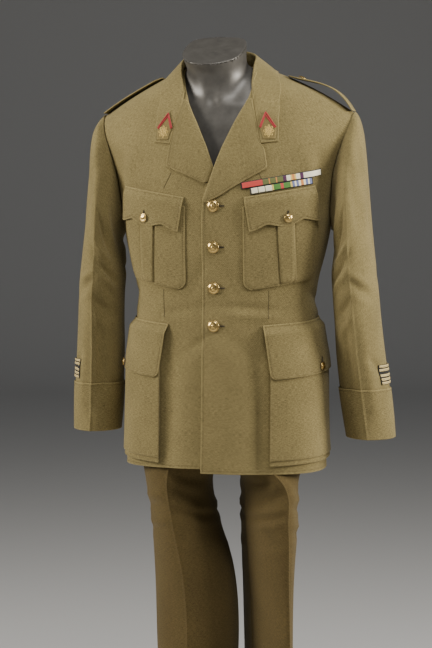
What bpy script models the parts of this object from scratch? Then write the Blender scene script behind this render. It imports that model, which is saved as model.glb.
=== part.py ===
"""Military uniform on a limbless dress form: tunic, trousers, form and stand.

Metres, +Z up. The uniform faces -Y and the wearer's left is +X. The origin is the
middle of the base plate's underside. Every piece that a tailor cuts is a solid wall.
"""

import math
from collections import namedtuple

import bmesh
import bpy
import numpy as np

MM = 0.001
SEAM = 0.3 * MM
CLOTH = 2.0 * MM
LIE = 0.8 * MM
SIDES = {"left": 1, "right": -1}

# The tunic's outer surface: a rounded section at each level from hem to shoulder ridge.
Section = namedtuple("Section", "height half_width front back shift")
TUNIC = (
    Section(0.802, 0.197, 0.124, 0.118, 0.000),
    Section(0.860, 0.195, 0.121, 0.117, 0.000),
    Section(0.930, 0.193, 0.118, 0.115, 0.000),
    Section(1.000, 0.191, 0.116, 0.111, 0.000),
    Section(1.050, 0.184, 0.113, 0.103, 0.000),
    Section(1.090, 0.178, 0.111, 0.096, 0.000),
    Section(1.130, 0.175, 0.110, 0.092, 0.000),
    Section(1.170, 0.180, 0.111, 0.094, 0.000),
    Section(1.220, 0.193, 0.114, 0.102, 0.000),
    Section(1.270, 0.203, 0.116, 0.109, 0.000),
    Section(1.330, 0.209, 0.116, 0.114, 0.000),
    Section(1.390, 0.216, 0.113, 0.117, 0.000),
    Section(1.445, 0.228, 0.107, 0.114, 0.002),
    Section(1.495, 0.243, 0.097, 0.105, 0.005),
    Section(1.535, 0.258, 0.080, 0.088, 0.008),
    Section(1.563, 0.266, 0.060, 0.066, 0.010),
    Section(1.582, 0.270, 0.034, 0.037, 0.012),
    Section(1.590, 0.272, 0.000, 0.000, 0.012),
)
SQUARENESS = 2.35
HIP_SQUARENESS = 2.2
SHOULDER_HALF = 0.247
SHOULDER_FALL = 0.104
FALL_FROM = 1.27
FALL_POWER = 1.6
NECK_LEAN = -0.016
LEAN_FROM = 1.51
LEAN_TO = 1.60
RIDGE = len(TUNIC) - 1
SEAM_LEVEL = RIDGE - 0.0045

# The armhole, as angles round the body from centre front, at each nominal height.
Armhole = namedtuple("Armhole", "height front_angle back_angle")
ARMHOLE = (
    Armhole(1.262, 1.640, 1.660),
    Armhole(1.285, 1.500, 1.760),
    Armhole(1.344, 1.400, 1.850),
    Armhole(1.420, 1.300, 1.910),
    Armhole(1.479, 1.215, 1.960),
    Armhole(1.534, 1.130, 2.010),
    Armhole(1.575, 1.110, 2.030),
    Armhole(1.590, 1.104, 2.037),
)
SIDE_SEAM = 2.25
SIDE_SEAM_TURNS = 1.11

# The front edge, and the line where a lapel rolls back: distance across from centre.
OVERLAP = 0.0235
OVERLAP_LIFT = 2.6 * MM
Roll = namedtuple("Roll", "height across")
ROLL = (
    Roll(1.290, -0.0235),
    Roll(1.318, -0.0215),
    Roll(1.385, 0.0020),
    Roll(1.420, 0.0150),
    Roll(1.465, 0.0360),
    Roll(1.500, 0.0545),
    Roll(1.530, 0.0680),
    Roll(1.575, 0.0795),
)
BACK_NECK_LEVEL = 15.4
NECK_HALF = 0.0795


def smooth(keys, values, at):
    """Values at in-between keys, on a smooth curve through a table's rows."""
    keys, values = np.asarray(keys, float), np.asarray(values, float)
    slopes = np.gradient(values, keys)
    at = np.clip(at, keys[0], keys[-1])
    row = np.clip(np.searchsorted(keys, at) - 1, 0, len(keys) - 2)
    step = keys[row + 1] - keys[row]
    f = (at - keys[row]) / step
    return (
        (1 + 2 * f) * (1 - f) ** 2 * values[row]
        + f * (1 - f) ** 2 * step * slopes[row]
        + f * f * (3 - 2 * f) * values[row + 1]
        + f * f * (f - 1) * step * slopes[row + 1]
    )


def ease(value, start, end):
    """0 before start, 1 after end, with a soft passage between."""
    f = np.clip((np.asarray(value, float) - start) / (end - start), 0, 1)
    return f * f * (3 - 2 * f)


def tunic_column(name, level):
    return smooth(range(len(TUNIC)), [getattr(row, name) for row in TUNIC], level)


def shoulder_fall(height, x):
    """How far a level has dropped at x, because shoulders slope."""
    return SHOULDER_FALL * ease(height, FALL_FROM, TUNIC[-1].height) * (x / SHOULDER_HALF) ** FALL_POWER


def lean(x, z):
    """The neck sits a little toward the wearer's right."""
    return NECK_LEAN * ease(z, LEAN_FROM, LEAN_TO) * np.clip(1 - x / SHOULDER_HALF, 0, 1)


def bare_point(angle, level):
    """The tunic's outer surface before the neck leans; angle is signed, 0 at centre front."""
    angle, level = np.broadcast_arrays(np.asarray(angle, float), np.asarray(level, float))
    side, turn = np.sign(angle), np.abs(angle)
    power = 2 / SQUARENESS
    x = tunic_column("half_width", level) * np.abs(np.sin(turn)) ** power
    c = np.cos(turn)
    depth = np.where(c > 0, tunic_column("front", level), tunic_column("back", level))
    y = tunic_column("shift", level) - depth * np.sign(c) * np.abs(c) ** power
    height = tunic_column("height", level)
    z = height - shoulder_fall(height, x)
    return np.stack([side * x, y, z], -1)


def tunic_point(angle, level):
    """The tunic's outer surface, with the neck leaning."""
    points = bare_point(angle, level)
    points[..., 0] += lean(np.abs(points[..., 0]), points[..., 2])
    return points


def tunic_normal(angle, level, small=0.004):
    """The surface's outward direction; straight up along the shoulder ridge."""
    angle, level = np.broadcast_arrays(np.asarray(angle, float), np.asarray(level, float))
    round_ = tunic_point(angle + small, level) - tunic_point(angle - small, level)
    upper, lower = np.minimum(level + small, RIDGE), np.maximum(level - small, 0)
    up = tunic_point(angle, upper) - tunic_point(angle, lower)
    normal = np.cross(round_, up)
    normal[..., 1] *= np.clip(RIDGE - level, 0, 1) ** 0.5
    return normal / np.linalg.norm(normal, axis=-1, keepdims=True)


def make_arc_table():
    """The angle reached after each millimetre round the body, for a fine set of levels."""
    levels = np.linspace(0, RIDGE, 10 * RIDGE + 1)
    angles = np.linspace(0, math.pi, 721)
    points = tunic_point(angles[None, :], levels[:, None])
    arcs = np.linalg.norm(np.diff(points, axis=1), axis=2).cumsum(1)
    arcs = np.concatenate([np.zeros((len(levels), 1)), arcs], 1)
    millimetres = np.arange(0, 700) * MM
    return levels, millimetres, np.array([np.interp(millimetres, row, angles) for row in arcs]), arcs[:, -1]


ARC_LEVELS, ARC_STEPS, ARC_ANGLES, ARC_HALF_ROUND = make_arc_table()


def angle_at(arc, level):
    """The signed angle that lies a signed distance round from centre front."""
    arc, level = np.broadcast_arrays(np.asarray(arc, float), np.asarray(level, float))
    row = np.clip(level * 10, 0, len(ARC_LEVELS) - 1.001)
    col = np.clip(np.abs(arc) / MM, 0, len(ARC_STEPS) - 1.001)
    r, c = row.astype(int), col.astype(int)
    fr, fc = row - r, col - c
    low = ARC_ANGLES[r, c] * (1 - fc) + ARC_ANGLES[r, c + 1] * fc
    high = ARC_ANGLES[r + 1, c] * (1 - fc) + ARC_ANGLES[r + 1, c + 1] * fc
    return np.sign(arc) * (low * (1 - fr) + high * fr)


def arc_at(angle, level):
    """The distance round from centre front to an angle, at one level."""
    row = ARC_ANGLES[min(int(round(level * 10)), len(ARC_LEVELS) - 1)]
    return float(np.interp(angle, row, ARC_STEPS))


def level_at(height):
    fine = np.linspace(0, RIDGE, 1701)
    return np.interp(height, tunic_column("height", fine), fine)


def find_on_tunic(arc, z):
    """The angle and level of the point at a distance round and a real height."""
    arc, z = np.broadcast_arrays(np.asarray(arc, float), np.asarray(z, float))
    height = z.copy()
    for _ in range(6):
        level = level_at(height)
        angle = angle_at(arc, level)
        x = np.abs(tunic_point(angle, level)[..., 0])
        height = z + shoulder_fall(height, x)
    return angle, level_at(height)


def find_above(x, y):
    """The angle and level of the shoulder's surface over a point of the plan."""
    levels = np.linspace(10, RIDGE, 600)
    half = tunic_column("half_width", levels)
    turn = np.arcsin(np.clip(abs(x) / half, 0, 1) ** (SQUARENESS / 2))
    if y > tunic_column("shift", RIDGE):
        turn = math.pi - turn
    found = np.abs(tunic_point(np.sign(x) * turn if x else turn, levels)[:, 1] - y).argmin()
    return (math.copysign(turn[found], x) if x else turn[found]), levels[found]


def front_lift(side, arc, z):
    """The left front lies on the right one, so it is lifted over the overlap."""
    if side < 0:
        return np.zeros(np.broadcast(arc, z).shape)
    return OVERLAP_LIFT * (1 - ease(arc, 0.030, 0.068)) * (1 - ease(z, 1.385, 1.43))


def on_front(side, arc, z, out):
    """A point on a front, at a distance across from centre, moved out."""
    angle, level = find_on_tunic(side * np.asarray(arc, float), z)
    out = np.asarray(out, float) + front_lift(side, arc, z)
    return tunic_point(angle, level) + tunic_normal(angle, level) * out[..., None]


MATERIALS = {}


def material(name, colour, roughness, metallic=0.0):
    """A finish, made once and shared by the pieces that have it."""
    if name not in MATERIALS:
        made = bpy.data.materials.new(name)
        made.use_nodes = True
        shader = made.node_tree.nodes["Principled BSDF"]
        shader.inputs["Base Color"].default_value = (*colour, 1)
        shader.inputs["Roughness"].default_value = roughness
        shader.inputs["Metallic"].default_value = metallic
        MATERIALS[name] = made
    return MATERIALS[name]


def tunic_cloth():
    return material("tunic_wool", (0.27, 0.20, 0.085), 0.9)


def trouser_cloth():
    return material("trouser_wool", (0.115, 0.08, 0.03), 0.9)


def brass():
    return material("brass", (0.62, 0.45, 0.16), 0.3, 1.0)


def form_gloss():
    return material("form_gloss", (0.03, 0.028, 0.026), 0.2)


def add_object(name, points, faces, finish):
    """A named object of one closed mesh, with its faces pointing out."""
    mesh = bpy.data.meshes.new(name)
    mesh.from_pydata([tuple(p) for p in points], [], [tuple(f) for f in faces])
    shape = bmesh.new()
    shape.from_mesh(mesh)
    if shape.calc_volume(signed=True) < 0:
        bmesh.ops.reverse_faces(shape, faces=shape.faces)
    bmesh.ops.triangulate(shape, faces=shape.faces)
    shape.to_mesh(mesh)
    shape.free()
    mesh.shade_smooth()
    mesh.set_sharp_from_angle(angle=math.radians(40))
    mesh.materials.append(finish)
    made = bpy.data.objects.new(name, mesh)
    bpy.context.scene.collection.objects.link(made)
    return made


def wall(name, outer, inner, finish, tube=False):
    """A closed shell between two grids of points; a tube's columns meet again."""
    rows, cols = outer.shape[:2]
    points = np.concatenate([outer.reshape(-1, 3), inner.reshape(-1, 3)])
    inside = rows * cols
    spans = cols if tube else cols - 1
    faces = []
    for r in range(rows - 1):
        for c in range(spans):
            a, b = r * cols + c, r * cols + (c + 1) % cols
            d, e = a + cols, b + cols
            faces.append((a, b, e, d))
            faces.append((inside + d, inside + e, inside + b, inside + a))
    for c in range(spans):
        for r in (0, rows - 1):
            a, b = r * cols + c, r * cols + (c + 1) % cols
            rim = (inside + a, inside + b, b, a)
            faces.append(rim if r == 0 else rim[::-1])
    if not tube:
        for r in range(rows - 1):
            for c in (0, cols - 1):
                a, b = r * cols + c, (r + 1) * cols + c
                rim = (a, b, inside + b, inside + a)
                faces.append(rim if c == 0 else rim[::-1])
    return add_object(name, points, faces, finish)


def grid_normals(grid, tube=False):
    """Directions square to a grid of points; a tube's columns wrap round."""
    if tube:
        across = np.roll(grid, -1, 1) - np.roll(grid, 1, 1)
    else:
        across = np.gradient(grid, axis=1)
    normals = np.cross(across, np.gradient(grid, axis=0))
    return normals / np.linalg.norm(normals, axis=-1, keepdims=True)


def panel(name, angles, levels, finish, out=0.0, thick=CLOTH):
    """A wall of cloth on the tunic's surface, with its outer face moved out."""
    points, normals = tunic_point(angles, levels), tunic_normal(angles, levels)
    out = np.broadcast_to(out, angles.shape)[..., None]
    return wall(name, points + normals * out, points + normals * (out - thick), finish)


PANEL_LEVELS = np.array(
    [0, 1, 2, 3, 3.8, 4.5, 5.2, 5.9, 6.6, 7.4, 8.2, 8.84, 8.9, 9.05, 9.3]
    + [9.8, 10.4, 11, 11.6, 12.2, 12.8, 13.4, 14, 14.6, 15.2, 15.8, 16.3, 16.7, SEAM_LEVEL]
)
FRONT_COLUMNS = (0, 0.09, 0.18, 0.27, 0.36, 0.45, 0.54, 0.63, 0.72, 0.81, 0.9, 1)
BACK_COLUMNS = (0, 0.16, 0.33, 0.5, 0.67, 0.84, 1)


def panel_end(level, which):
    """The angle where a front or a back ends: the side seam, then the armhole."""
    height = tunic_column("height", level)
    if height > ARMHOLE[0].height:
        column = "front_angle" if which == "front" else "back_angle"
        return float(smooth([a.height for a in ARMHOLE], [getattr(a, column) for a in ARMHOLE], height))
    start = 0.5 * (ARMHOLE[0].front_angle + ARMHOLE[0].back_angle)
    return SIDE_SEAM + (start - SIDE_SEAM) * float(ease(height, SIDE_SEAM_TURNS, ARMHOLE[0].height))


def front_edge(level):
    """Distance across to a front's edge or its roll line, at one level."""
    across = 0.0
    for _ in range(12):
        z = float(tunic_point(angle_at(across, level), level)[2])
        across = float(np.interp(z, [r.height for r in ROLL], [r.across for r in ROLL]))
    return across


def make_front(side_name):
    side = SIDES[side_name]
    angles = np.zeros((len(PANEL_LEVELS), len(FRONT_COLUMNS)))
    out = np.zeros_like(angles)
    for r, level in enumerate(PANEL_LEVELS):
        start = front_edge(level)
        end = arc_at(panel_end(level, "front"), level) - SEAM
        arcs = start + (end - start) * np.array(FRONT_COLUMNS)
        angles[r] = side * angle_at(arcs, level)
        out[r] = front_lift(side, arcs, tunic_point(angles[r], level)[:, 2])
    levels = np.repeat(PANEL_LEVELS[:, None], len(FRONT_COLUMNS), 1)
    return panel(f"front_{side_name}", angles, levels, tunic_cloth(), out)


def make_back(side_name):
    """Half of the back: centre-back seam to side seam, with the neck scooped out."""
    side = SIDES[side_name]
    shape = (len(PANEL_LEVELS), len(BACK_COLUMNS))
    angles, levels = np.zeros(shape), np.zeros(shape)
    scoop_from = 14.0
    for r, row_level in enumerate(PANEL_LEVELS):
        for c, share in enumerate(BACK_COLUMNS):
            level = row_level
            for _ in range(3):
                half_round = float(np.interp(level, ARC_LEVELS, ARC_HALF_ROUND))
                end = arc_at(panel_end(level, "back"), level) + SEAM
                arc = half_round - SEAM / 2 + (end - half_round) * share
                from_centre = half_round - arc
                top = BACK_NECK_LEVEL + (RIDGE - BACK_NECK_LEVEL) * ease(from_centre, 0.02, NECK_HALF)
                squeeze = (min(top, SEAM_LEVEL) - scoop_from) / (SEAM_LEVEL - scoop_from)
                level = row_level if row_level < scoop_from else scoop_from + (row_level - scoop_from) * squeeze
            angles[r, c], levels[r, c] = side * float(angle_at(arc, level)), level
    return panel(f"back_{side_name}", angles, levels, tunic_cloth())


# The gorge is the seam between lapel and collar, from the notch up to the roll line.
Gorge = namedtuple("Gorge", "height across")
GORGE = (
    Gorge(1.4255, 0.0885),
    Gorge(1.4420, 0.0843),
    Gorge(1.4700, 0.0783),
    Gorge(1.4930, 0.0722),
    Gorge(1.5080, 0.0690),
)
# A lapel's rows, from the break up: height on the roll line, then its outer edge.
LapelRow = namedtuple("LapelRow", "roll_height edge_across edge_height")
LAPEL = {
    "left": (
        LapelRow(1.3205, -0.0150, 1.3150),
        LapelRow(1.3450, 0.0100, 1.3265),
        LapelRow(1.3700, 0.0380, 1.3440),
        LapelRow(1.3950, 0.0680, 1.3615),
        LapelRow(1.4150, 0.0880, 1.3735),
        LapelRow(1.4320, 0.0965, 1.3830),
        LapelRow(1.4470, 0.0975, 1.3980),
        LapelRow(1.4620, 0.0945, 1.4160),
    ),
    "right": (
        LapelRow(1.3540, 0.0190, 1.3520),
        LapelRow(1.3660, 0.0420, 1.3620),
        LapelRow(1.3850, 0.0650, 1.3715),
        LapelRow(1.4050, 0.0830, 1.3795),
        LapelRow(1.4200, 0.0905, 1.3860),
        LapelRow(1.4350, 0.0925, 1.3970),
        LapelRow(1.4500, 0.0915, 1.4130),
    ),
}
GORGE_ROLL_HEIGHTS = (1.4750, 1.4850, 1.4940, 1.5010, 1.5065)
LAPEL_LIFT = 0.4 * MM
LAPEL_ROLL = 1.2 * MM


def roll_across(z):
    return np.interp(z, [r.height for r in ROLL], [r.across for r in ROLL])


def make_lapel(side_name):
    side = SIDES[side_name]
    rows = list(LAPEL[side_name])
    rows += [LapelRow(h, g.across - 2 * SEAM, g.height) for h, g in zip(GORGE_ROLL_HEIGHTS, GORGE)]
    columns = (0, 0.12, 0.4, 0.7, 1)
    arcs, heights = np.zeros((len(rows), len(columns))), np.zeros((len(rows), len(columns)))
    for r, row in enumerate(rows):
        start = roll_across(row.roll_height)
        if side < 0:
            start = max(start, 4 * SEAM - start)
        arcs[r] = start + (row.edge_across - start) * np.array(columns)
        heights[r] = row.roll_height + (row.edge_height - row.roll_height) * np.array(columns)
    swell = LAPEL_ROLL * np.sin(np.pi * np.array(columns)) ** 0.7
    low = LAPEL_LIFT + np.broadcast_to(swell, arcs.shape)
    outer, inner = on_front(side, arcs, heights, low + CLOTH), on_front(side, arcs, heights, low)
    return wall(f"lapel_{side_name}", outer, inner, tunic_cloth())


# The collar's rows past the gorge: its neck seam, fold and outer edge, on one side.
CollarRow = namedtuple("CollarRow", "seam_x seam_y seam_z fold_x fold_y fold_z edge_x edge_y edge_z")
COLLAR_ROUND = (
    CollarRow(0.0645, -0.0645, 1.5270, 0.0675, -0.0690, 1.5335, 0.1168, -0.0520, 1.5275),
    CollarRow(0.0695, -0.0400, 1.5460, 0.0705, -0.0440, 1.5600, 0.1125, -0.0330, 1.5455),
    CollarRow(0.0725, -0.0150, 1.5640, 0.0725, -0.0150, 1.5810, 0.1075, -0.0120, 1.5600),
    CollarRow(0.0730, 0.0120, 1.5710, 0.0715, 0.0120, 1.5940, 0.1030, 0.0150, 1.5630),
    CollarRow(0.0620, 0.0340, 1.5730, 0.0620, 0.0320, 1.6030, 0.0900, 0.0480, 1.5620),
    CollarRow(0.0350, 0.0510, 1.5730, 0.0350, 0.0480, 1.6100, 0.0530, 0.0760, 1.5630),
    CollarRow(0.0000, 0.0565, 1.5730, 0.0000, 0.0535, 1.6130, 0.0000, 0.0850, 1.5640),
)
CollarFront = namedtuple("CollarFront", "edge_across edge_height")
COLLAR_FRONT = (
    CollarFront(0.1215, 1.4290),
    CollarFront(0.1218, 1.4480),
    CollarFront(0.1212, 1.4700),
    CollarFront(0.1218, 1.4900),
    CollarFront(0.1222, 1.5070),
)
COLLAR_MIDDLE = 1.6 * MM
FOLD_DROP = 2.5 * MM
FOLD_SPREAD = 5.0 * MM
COLLAR_CLEAR = np.array([3.2, 3.2, 2.6, 2.2, 2.2, 2.2, 2.2, 2.2, 2.2]) * MM
FOLD_LEAN = -0.005
FOLD_SHARES = (0, 0.5, 1, 1, 1, 0.7, 0.4, 0.15, 0)
FRONT_SHARES = (0, 0.035, 0.07, 0.105, 0.15, 0.36, 0.58, 0.8, 1)


def collar_profile(side, row):
    """Up the stand, over the fold and down the fall, past the gorge."""
    seam, fold, edge = (np.array(row[k : k + 3]) for k in (0, 3, 6))
    outward = (edge - seam) * (1, 1, 0)
    outward /= np.linalg.norm(outward)
    tall = min(FOLD_DROP, 0.45 * np.linalg.norm(fold - seam))
    drop = np.array([0, 0, -1.0])
    stand_top = fold + drop * tall - outward * 0.3 * FOLD_SPREAD
    turn = fold + outward * 0.7 * FOLD_SPREAD + drop * FOLD_DROP
    points = [seam, (seam + stand_top) / 2, stand_top, fold, turn]
    bow = outward * 2.5 * MM
    for share in (0.28, 0.54, 0.78, 1):
        points.append(turn + (edge - turn) * share + bow * math.sin(math.pi * share))
    points = np.array(points)
    for point, clear in zip(points, COLLAR_CLEAR):
        angle, level = find_above(*point[:2])
        surface, normal = bare_point(angle, level), tunic_normal(angle, level)
        point += normal * max(0, clear - (point - surface) @ normal)
    points[:, 0] *= side
    points[:, 0] += lean(np.abs(points[:, 0]), points[:, 2])
    points[:, 0] += FOLD_LEAN * np.array(FOLD_SHARES) * ease(points[:, 2], LEAN_FROM, LEAN_TO)
    return points


def make_collar():
    """One folded band from the right notch, round the back of the neck, to the left."""
    halves = []
    for side in (-1, 1):
        rows = []
        for gorge, front in zip(GORGE, COLLAR_FRONT):
            shares = np.array(FRONT_SHARES)
            arcs = gorge.across + (front.edge_across - gorge.across) * shares
            heights = gorge.height + (front.edge_height - gorge.height) * shares
            rows.append(on_front(side, arcs, heights, COLLAR_MIDDLE))
        rows += [collar_profile(side, row) for row in COLLAR_ROUND]
        halves.append(np.array(rows))
    middle = np.concatenate([halves[0], halves[1][-2::-1]])
    normals = grid_normals(middle)
    half = normals * CLOTH / 2
    return wall("collar", middle + half, middle - half, tunic_cloth())


# A sleeve's rings: its outer and inner points seen from the front, and its depth.
Ring = namedtuple("Ring", "outer_x outer_z inner_x inner_z centre_y half_depth own_shape crease")
SLEEVE = (
    Ring(0.2480, 1.4865, 0.2060, 1.2630, 0.012, 0.074, 0.00, 0.0),
    Ring(0.2590, 1.4800, 0.2090, 1.2600, 0.008, 0.078, 0.45, 0.0),
    Ring(0.2660, 1.4500, 0.2115, 1.2540, 0.004, 0.080, 0.85, 0.1),
    Ring(0.2705, 1.4000, 0.2125, 1.2430, 0.001, 0.080, 1.00, 0.2),
    Ring(0.2755, 1.3400, 0.2125, 1.2280, 0.000, 0.079, 1.00, 0.3),
    Ring(0.2810, 1.2780, 0.2095, 1.2080, -0.002, 0.077, 1.00, 0.5),
    Ring(0.2885, 1.2100, 0.2060, 1.1780, -0.006, 0.073, 1.00, 0.6),
    Ring(0.2945, 1.1500, 0.2080, 1.1350, -0.009, 0.069, 1.00, 0.7),
    Ring(0.2990, 1.0900, 0.2100, 1.0850, -0.004, 0.065, 1.00, 0.8),
    Ring(0.3045, 1.0300, 0.2110, 1.0300, 0.003, 0.061, 1.00, 0.8),
    Ring(0.3090, 0.9850, 0.2135, 0.9850, 0.008, 0.058, 1.00, 0.8),
    Ring(0.3125, 0.9450, 0.2165, 0.9450, 0.013, 0.055, 1.00, 0.8),
    Ring(0.3150, 0.9050, 0.2205, 0.9050, 0.018, 0.053, 1.00, 0.8),
    Ring(0.3165, 0.8620, 0.2260, 0.8620, 0.022, 0.052, 1.00, 0.8),
)
SLEEVE_SIDES = 20
SLEEVE_SEAM = 0.8 * MM
SLEEVE_SWING = {1: 0.010, -1: 0.0}


def armhole_curve(side, turns):
    """Points of the armhole: turn -90 degrees at the armpit, 0 in front, 90 at the top."""
    heights = np.linspace(ARMHOLE[0].height, ARMHOLE[-1].height, 241)
    table = [a.height for a in ARMHOLE]
    halves = {}
    for column in ("front_angle", "back_angle"):
        angles = smooth(table, [getattr(a, column) for a in ARMHOLE], heights)
        points = tunic_point(side * angles, level_at(heights))
        length = np.linalg.norm(np.diff(points, axis=0), axis=1).cumsum()
        halves[column] = points, np.concatenate([[0], length]) / length[-1]
    made = []
    for turn in turns:
        column = "front_angle" if math.cos(turn) >= 0 else "back_angle"
        share = 0.5 + math.asin(math.sin(turn)) / math.pi
        points, length = halves[column]
        made.append([np.interp(share, length, points[:, k]) for k in range(3)])
    return np.array(made) + (side * SLEEVE_SEAM, 0, 0)


def sleeve_grid(side, rings, turns):
    """Points of a sleeve's outer surface; rings count down the arm, from 0 at the armhole."""
    start = armhole_curve(side, turns)
    grid = []
    for ring in rings:
        row = {name: smooth(range(len(SLEEVE)), [getattr(s, name) for s in SLEEVE], ring) for name in Ring._fields}
        outer = np.array([row["outer_x"], 0, row["outer_z"]])
        inner = np.array([row["inner_x"], 0, row["inner_z"]])
        middle, reach = (outer + inner) / 2 + (0, row["centre_y"], 0), (outer - inner) / 2
        sharp = 1 + 0.35 * row["crease"]
        wide = np.sign(np.sin(turns)) * np.abs(np.sin(turns)) ** sharp
        points = middle + wide[:, None] * reach - np.cos(turns)[:, None] * (0, row["half_depth"], 0)
        swing = SLEEVE_SWING[side] * (ring / (len(SLEEVE) - 1)) ** 2
        points = (points + (swing, 0, 0)) * (side, 1, 1)
        share = float(np.clip(row["own_shape"], 0, 1))
        grid.append(start * (1 - share) + points * share)
    return np.array(grid)


def make_sleeve(side_name):
    side = SIDES[side_name]
    turns = np.linspace(-math.pi, math.pi, SLEEVE_SIDES, endpoint=False) + math.pi / SLEEVE_SIDES
    outer = sleeve_grid(side, np.arange(len(SLEEVE)), turns)
    normals = grid_normals(outer, tube=True) * side * -1
    middle = outer[0].mean(0)
    normals[0] = (outer[0] - middle) * (0, 1, 1)
    normals[0] /= np.linalg.norm(normals[0], axis=1, keepdims=True)
    return wall(f"sleeve_{side_name}", outer, outer - normals * CLOTH, tunic_cloth(), tube=True)


CUFF_TOP_RING = 10.62
CUFF_HEM_RING = 12.97
CUFF_OUT = 0.7 * MM


def make_cuff(side_name):
    side = SIDES[side_name]
    turns = np.linspace(-math.pi, math.pi, SLEEVE_SIDES, endpoint=False) + math.pi / SLEEVE_SIDES
    rings = np.linspace(CUFF_TOP_RING, CUFF_HEM_RING, 3)
    fine = sleeve_grid(side, rings, turns)
    normals = grid_normals(fine, tube=True) * side * -1
    outer, inner = fine + normals * (CUFF_OUT + CLOTH), fine + normals * CUFF_OUT
    return wall(f"cuff_{side_name}", outer, inner, tunic_cloth(), tube=True)


# Service bars above each cuff: heights of their middles, on one backing of dark cloth.
BAR_HEIGHTS = (0.9715, 0.9785, 0.9860, 0.9965, 1.0035)
BAR_HALF = 2.6 * MM
BAR_BACKING = 1.2 * MM
BAR_PROUD = 1.2 * MM
BAR_FROM = math.radians(45)
BAR_TO = math.radians(135)


def make_service_bars(side_name):
    side = SIDES[side_name]
    edge = 1.0 * MM
    heights, proud = [BAR_HEIGHTS[0] - BAR_HALF - edge], [0]
    for z in BAR_HEIGHTS:
        heights += [z - BAR_HALF, z, z + BAR_HALF]
        proud += [0, 1, 0]
    heights.append(BAR_HEIGHTS[-1] + BAR_HALF + edge)
    proud.append(0)
    falling = np.linspace(0, len(SLEEVE) - 1, 1301)
    outer_z = smooth(range(len(SLEEVE)), [s.outer_z for s in SLEEVE], falling)
    rings = np.interp(np.array(heights), outer_z[::-1], falling[::-1])
    turns = np.linspace(BAR_FROM, BAR_TO, 6)
    proud = np.array(proud, float)[:, None] * np.array([0, 1, 1, 1, 1, 0])
    high = CUFF_OUT + BAR_BACKING + BAR_PROUD * proud
    base = sleeve_grid(side, rings, turns)
    fine = sleeve_grid(side, rings[len(rings) // 2] + np.array([-0.2, 0, 0.2]), turns)
    normals = np.cross(np.gradient(fine, axis=1), np.gradient(fine, axis=0))[1] * side * -1
    normals /= np.linalg.norm(normals, axis=-1, keepdims=True)
    outer, inner = base + normals * high[..., None], base + normals * CUFF_OUT
    return wall(f"service_bars_{side_name}", outer, inner, material("bar_braid", (0.78, 0.68, 0.42), 0.6))


# Chest pockets: a tilted three-point flap over a patch with a box pleat.
CHEST_INNER = 0.0557
CHEST_OUTER = 0.2000
CHEST_BOTTOM = 1.1480
CHEST_SLOPE = math.tan(math.radians(9.2))
CHEST_CORNER = 0.020
CHEST_PLEAT = (0.1205, 0.1510)
CHEST_PLEAT_SLANT = 0.045
CHEST_FLAP_START = (0.0575, 1.3247)
CHEST_FLAP_TILT = math.radians(9.3)
CHEST_FLAP_WIDE = 0.139
CHEST_FLAP_DEEP = 0.0572
CHEST_POINTS = 0.0085
CHEST_FLAP_OUT = 8.0 * MM
CHEST_BUTTON = (0.0745, 0.0510)
RIM = LIE + CLOTH


def corner_inset(distance, radius):
    """How far a rounded corner draws the side in, at a distance from the bottom."""
    if distance >= radius:
        return 0.0
    return radius - math.sqrt(radius**2 - (radius - distance) ** 2)


def make_chest_pocket(side_name):
    side = SIDES[side_name]
    step = 1.2 * MM
    rows = ((0.0, 0), (0.0030, 0.6), (0.0085, 1), (0.0200, 1), (0.06, 1), (0.110, 1), (0.1550, 0.6), (0.1600, 0))
    arcs, heights, high = [], [], []
    for up, swell in rows:
        inset = corner_inset(up, CHEST_CORNER)
        start, end = CHEST_INNER + inset, CHEST_OUTER - inset
        slant = -CHEST_PLEAT_SLANT * up + CHEST_PLEAT_SLANT * 0.11
        p0, p1 = CHEST_PLEAT[0] + slant, CHEST_PLEAT[1] + slant
        row = [start, start + 0.01, (start + p0) / 2, p0 - step, p0 + step]
        row += [p1 - step, p1 + step, (p1 + end) / 2, end - 0.01, end]
        arcs.append(row)
        heights.append([CHEST_BOTTOM + up + (a - CHEST_INNER) * CHEST_SLOPE for a in row])
        high.append([RIM + MM * swell * h for h in (0, 1, 1.1, 1.1, 2.3, 2.3, 1.1, 1.1, 1, 0)])
    arcs, heights, high = np.array(arcs), np.array(heights), np.array(high)
    outer, inner = on_front(side, arcs, heights, high), on_front(side, arcs, heights, high - CLOTH)
    return wall(f"chest_pocket_{side_name}", outer, inner, tunic_cloth())


def chest_flap_place(along, down):
    tilt = CHEST_FLAP_TILT
    arc = CHEST_FLAP_START[0] + along * math.cos(tilt) + down * math.sin(tilt)
    return arc, CHEST_FLAP_START[1] + along * math.sin(tilt) - down * math.cos(tilt)


def make_chest_flap(side_name):
    side = SIDES[side_name]
    along = np.linspace(0, 1, 13)
    deep = CHEST_FLAP_DEEP + CHEST_POINTS * np.abs(np.cos(2 * math.pi * along)) ** 1.4
    shares = np.array([0, 0.1, 0.24, 0.6, 1])[:, None]
    high = (RIM + (CHEST_FLAP_OUT - RIM) * ease(shares, 0, 0.24)) * np.ones_like(along)
    arcs, heights = chest_flap_place(along * CHEST_FLAP_WIDE, shares * deep)
    outer, inner = on_front(side, arcs, heights, high), on_front(side, arcs, heights, high - CLOTH)
    return wall(f"chest_flap_{side_name}", outer, inner, tunic_cloth())


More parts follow.
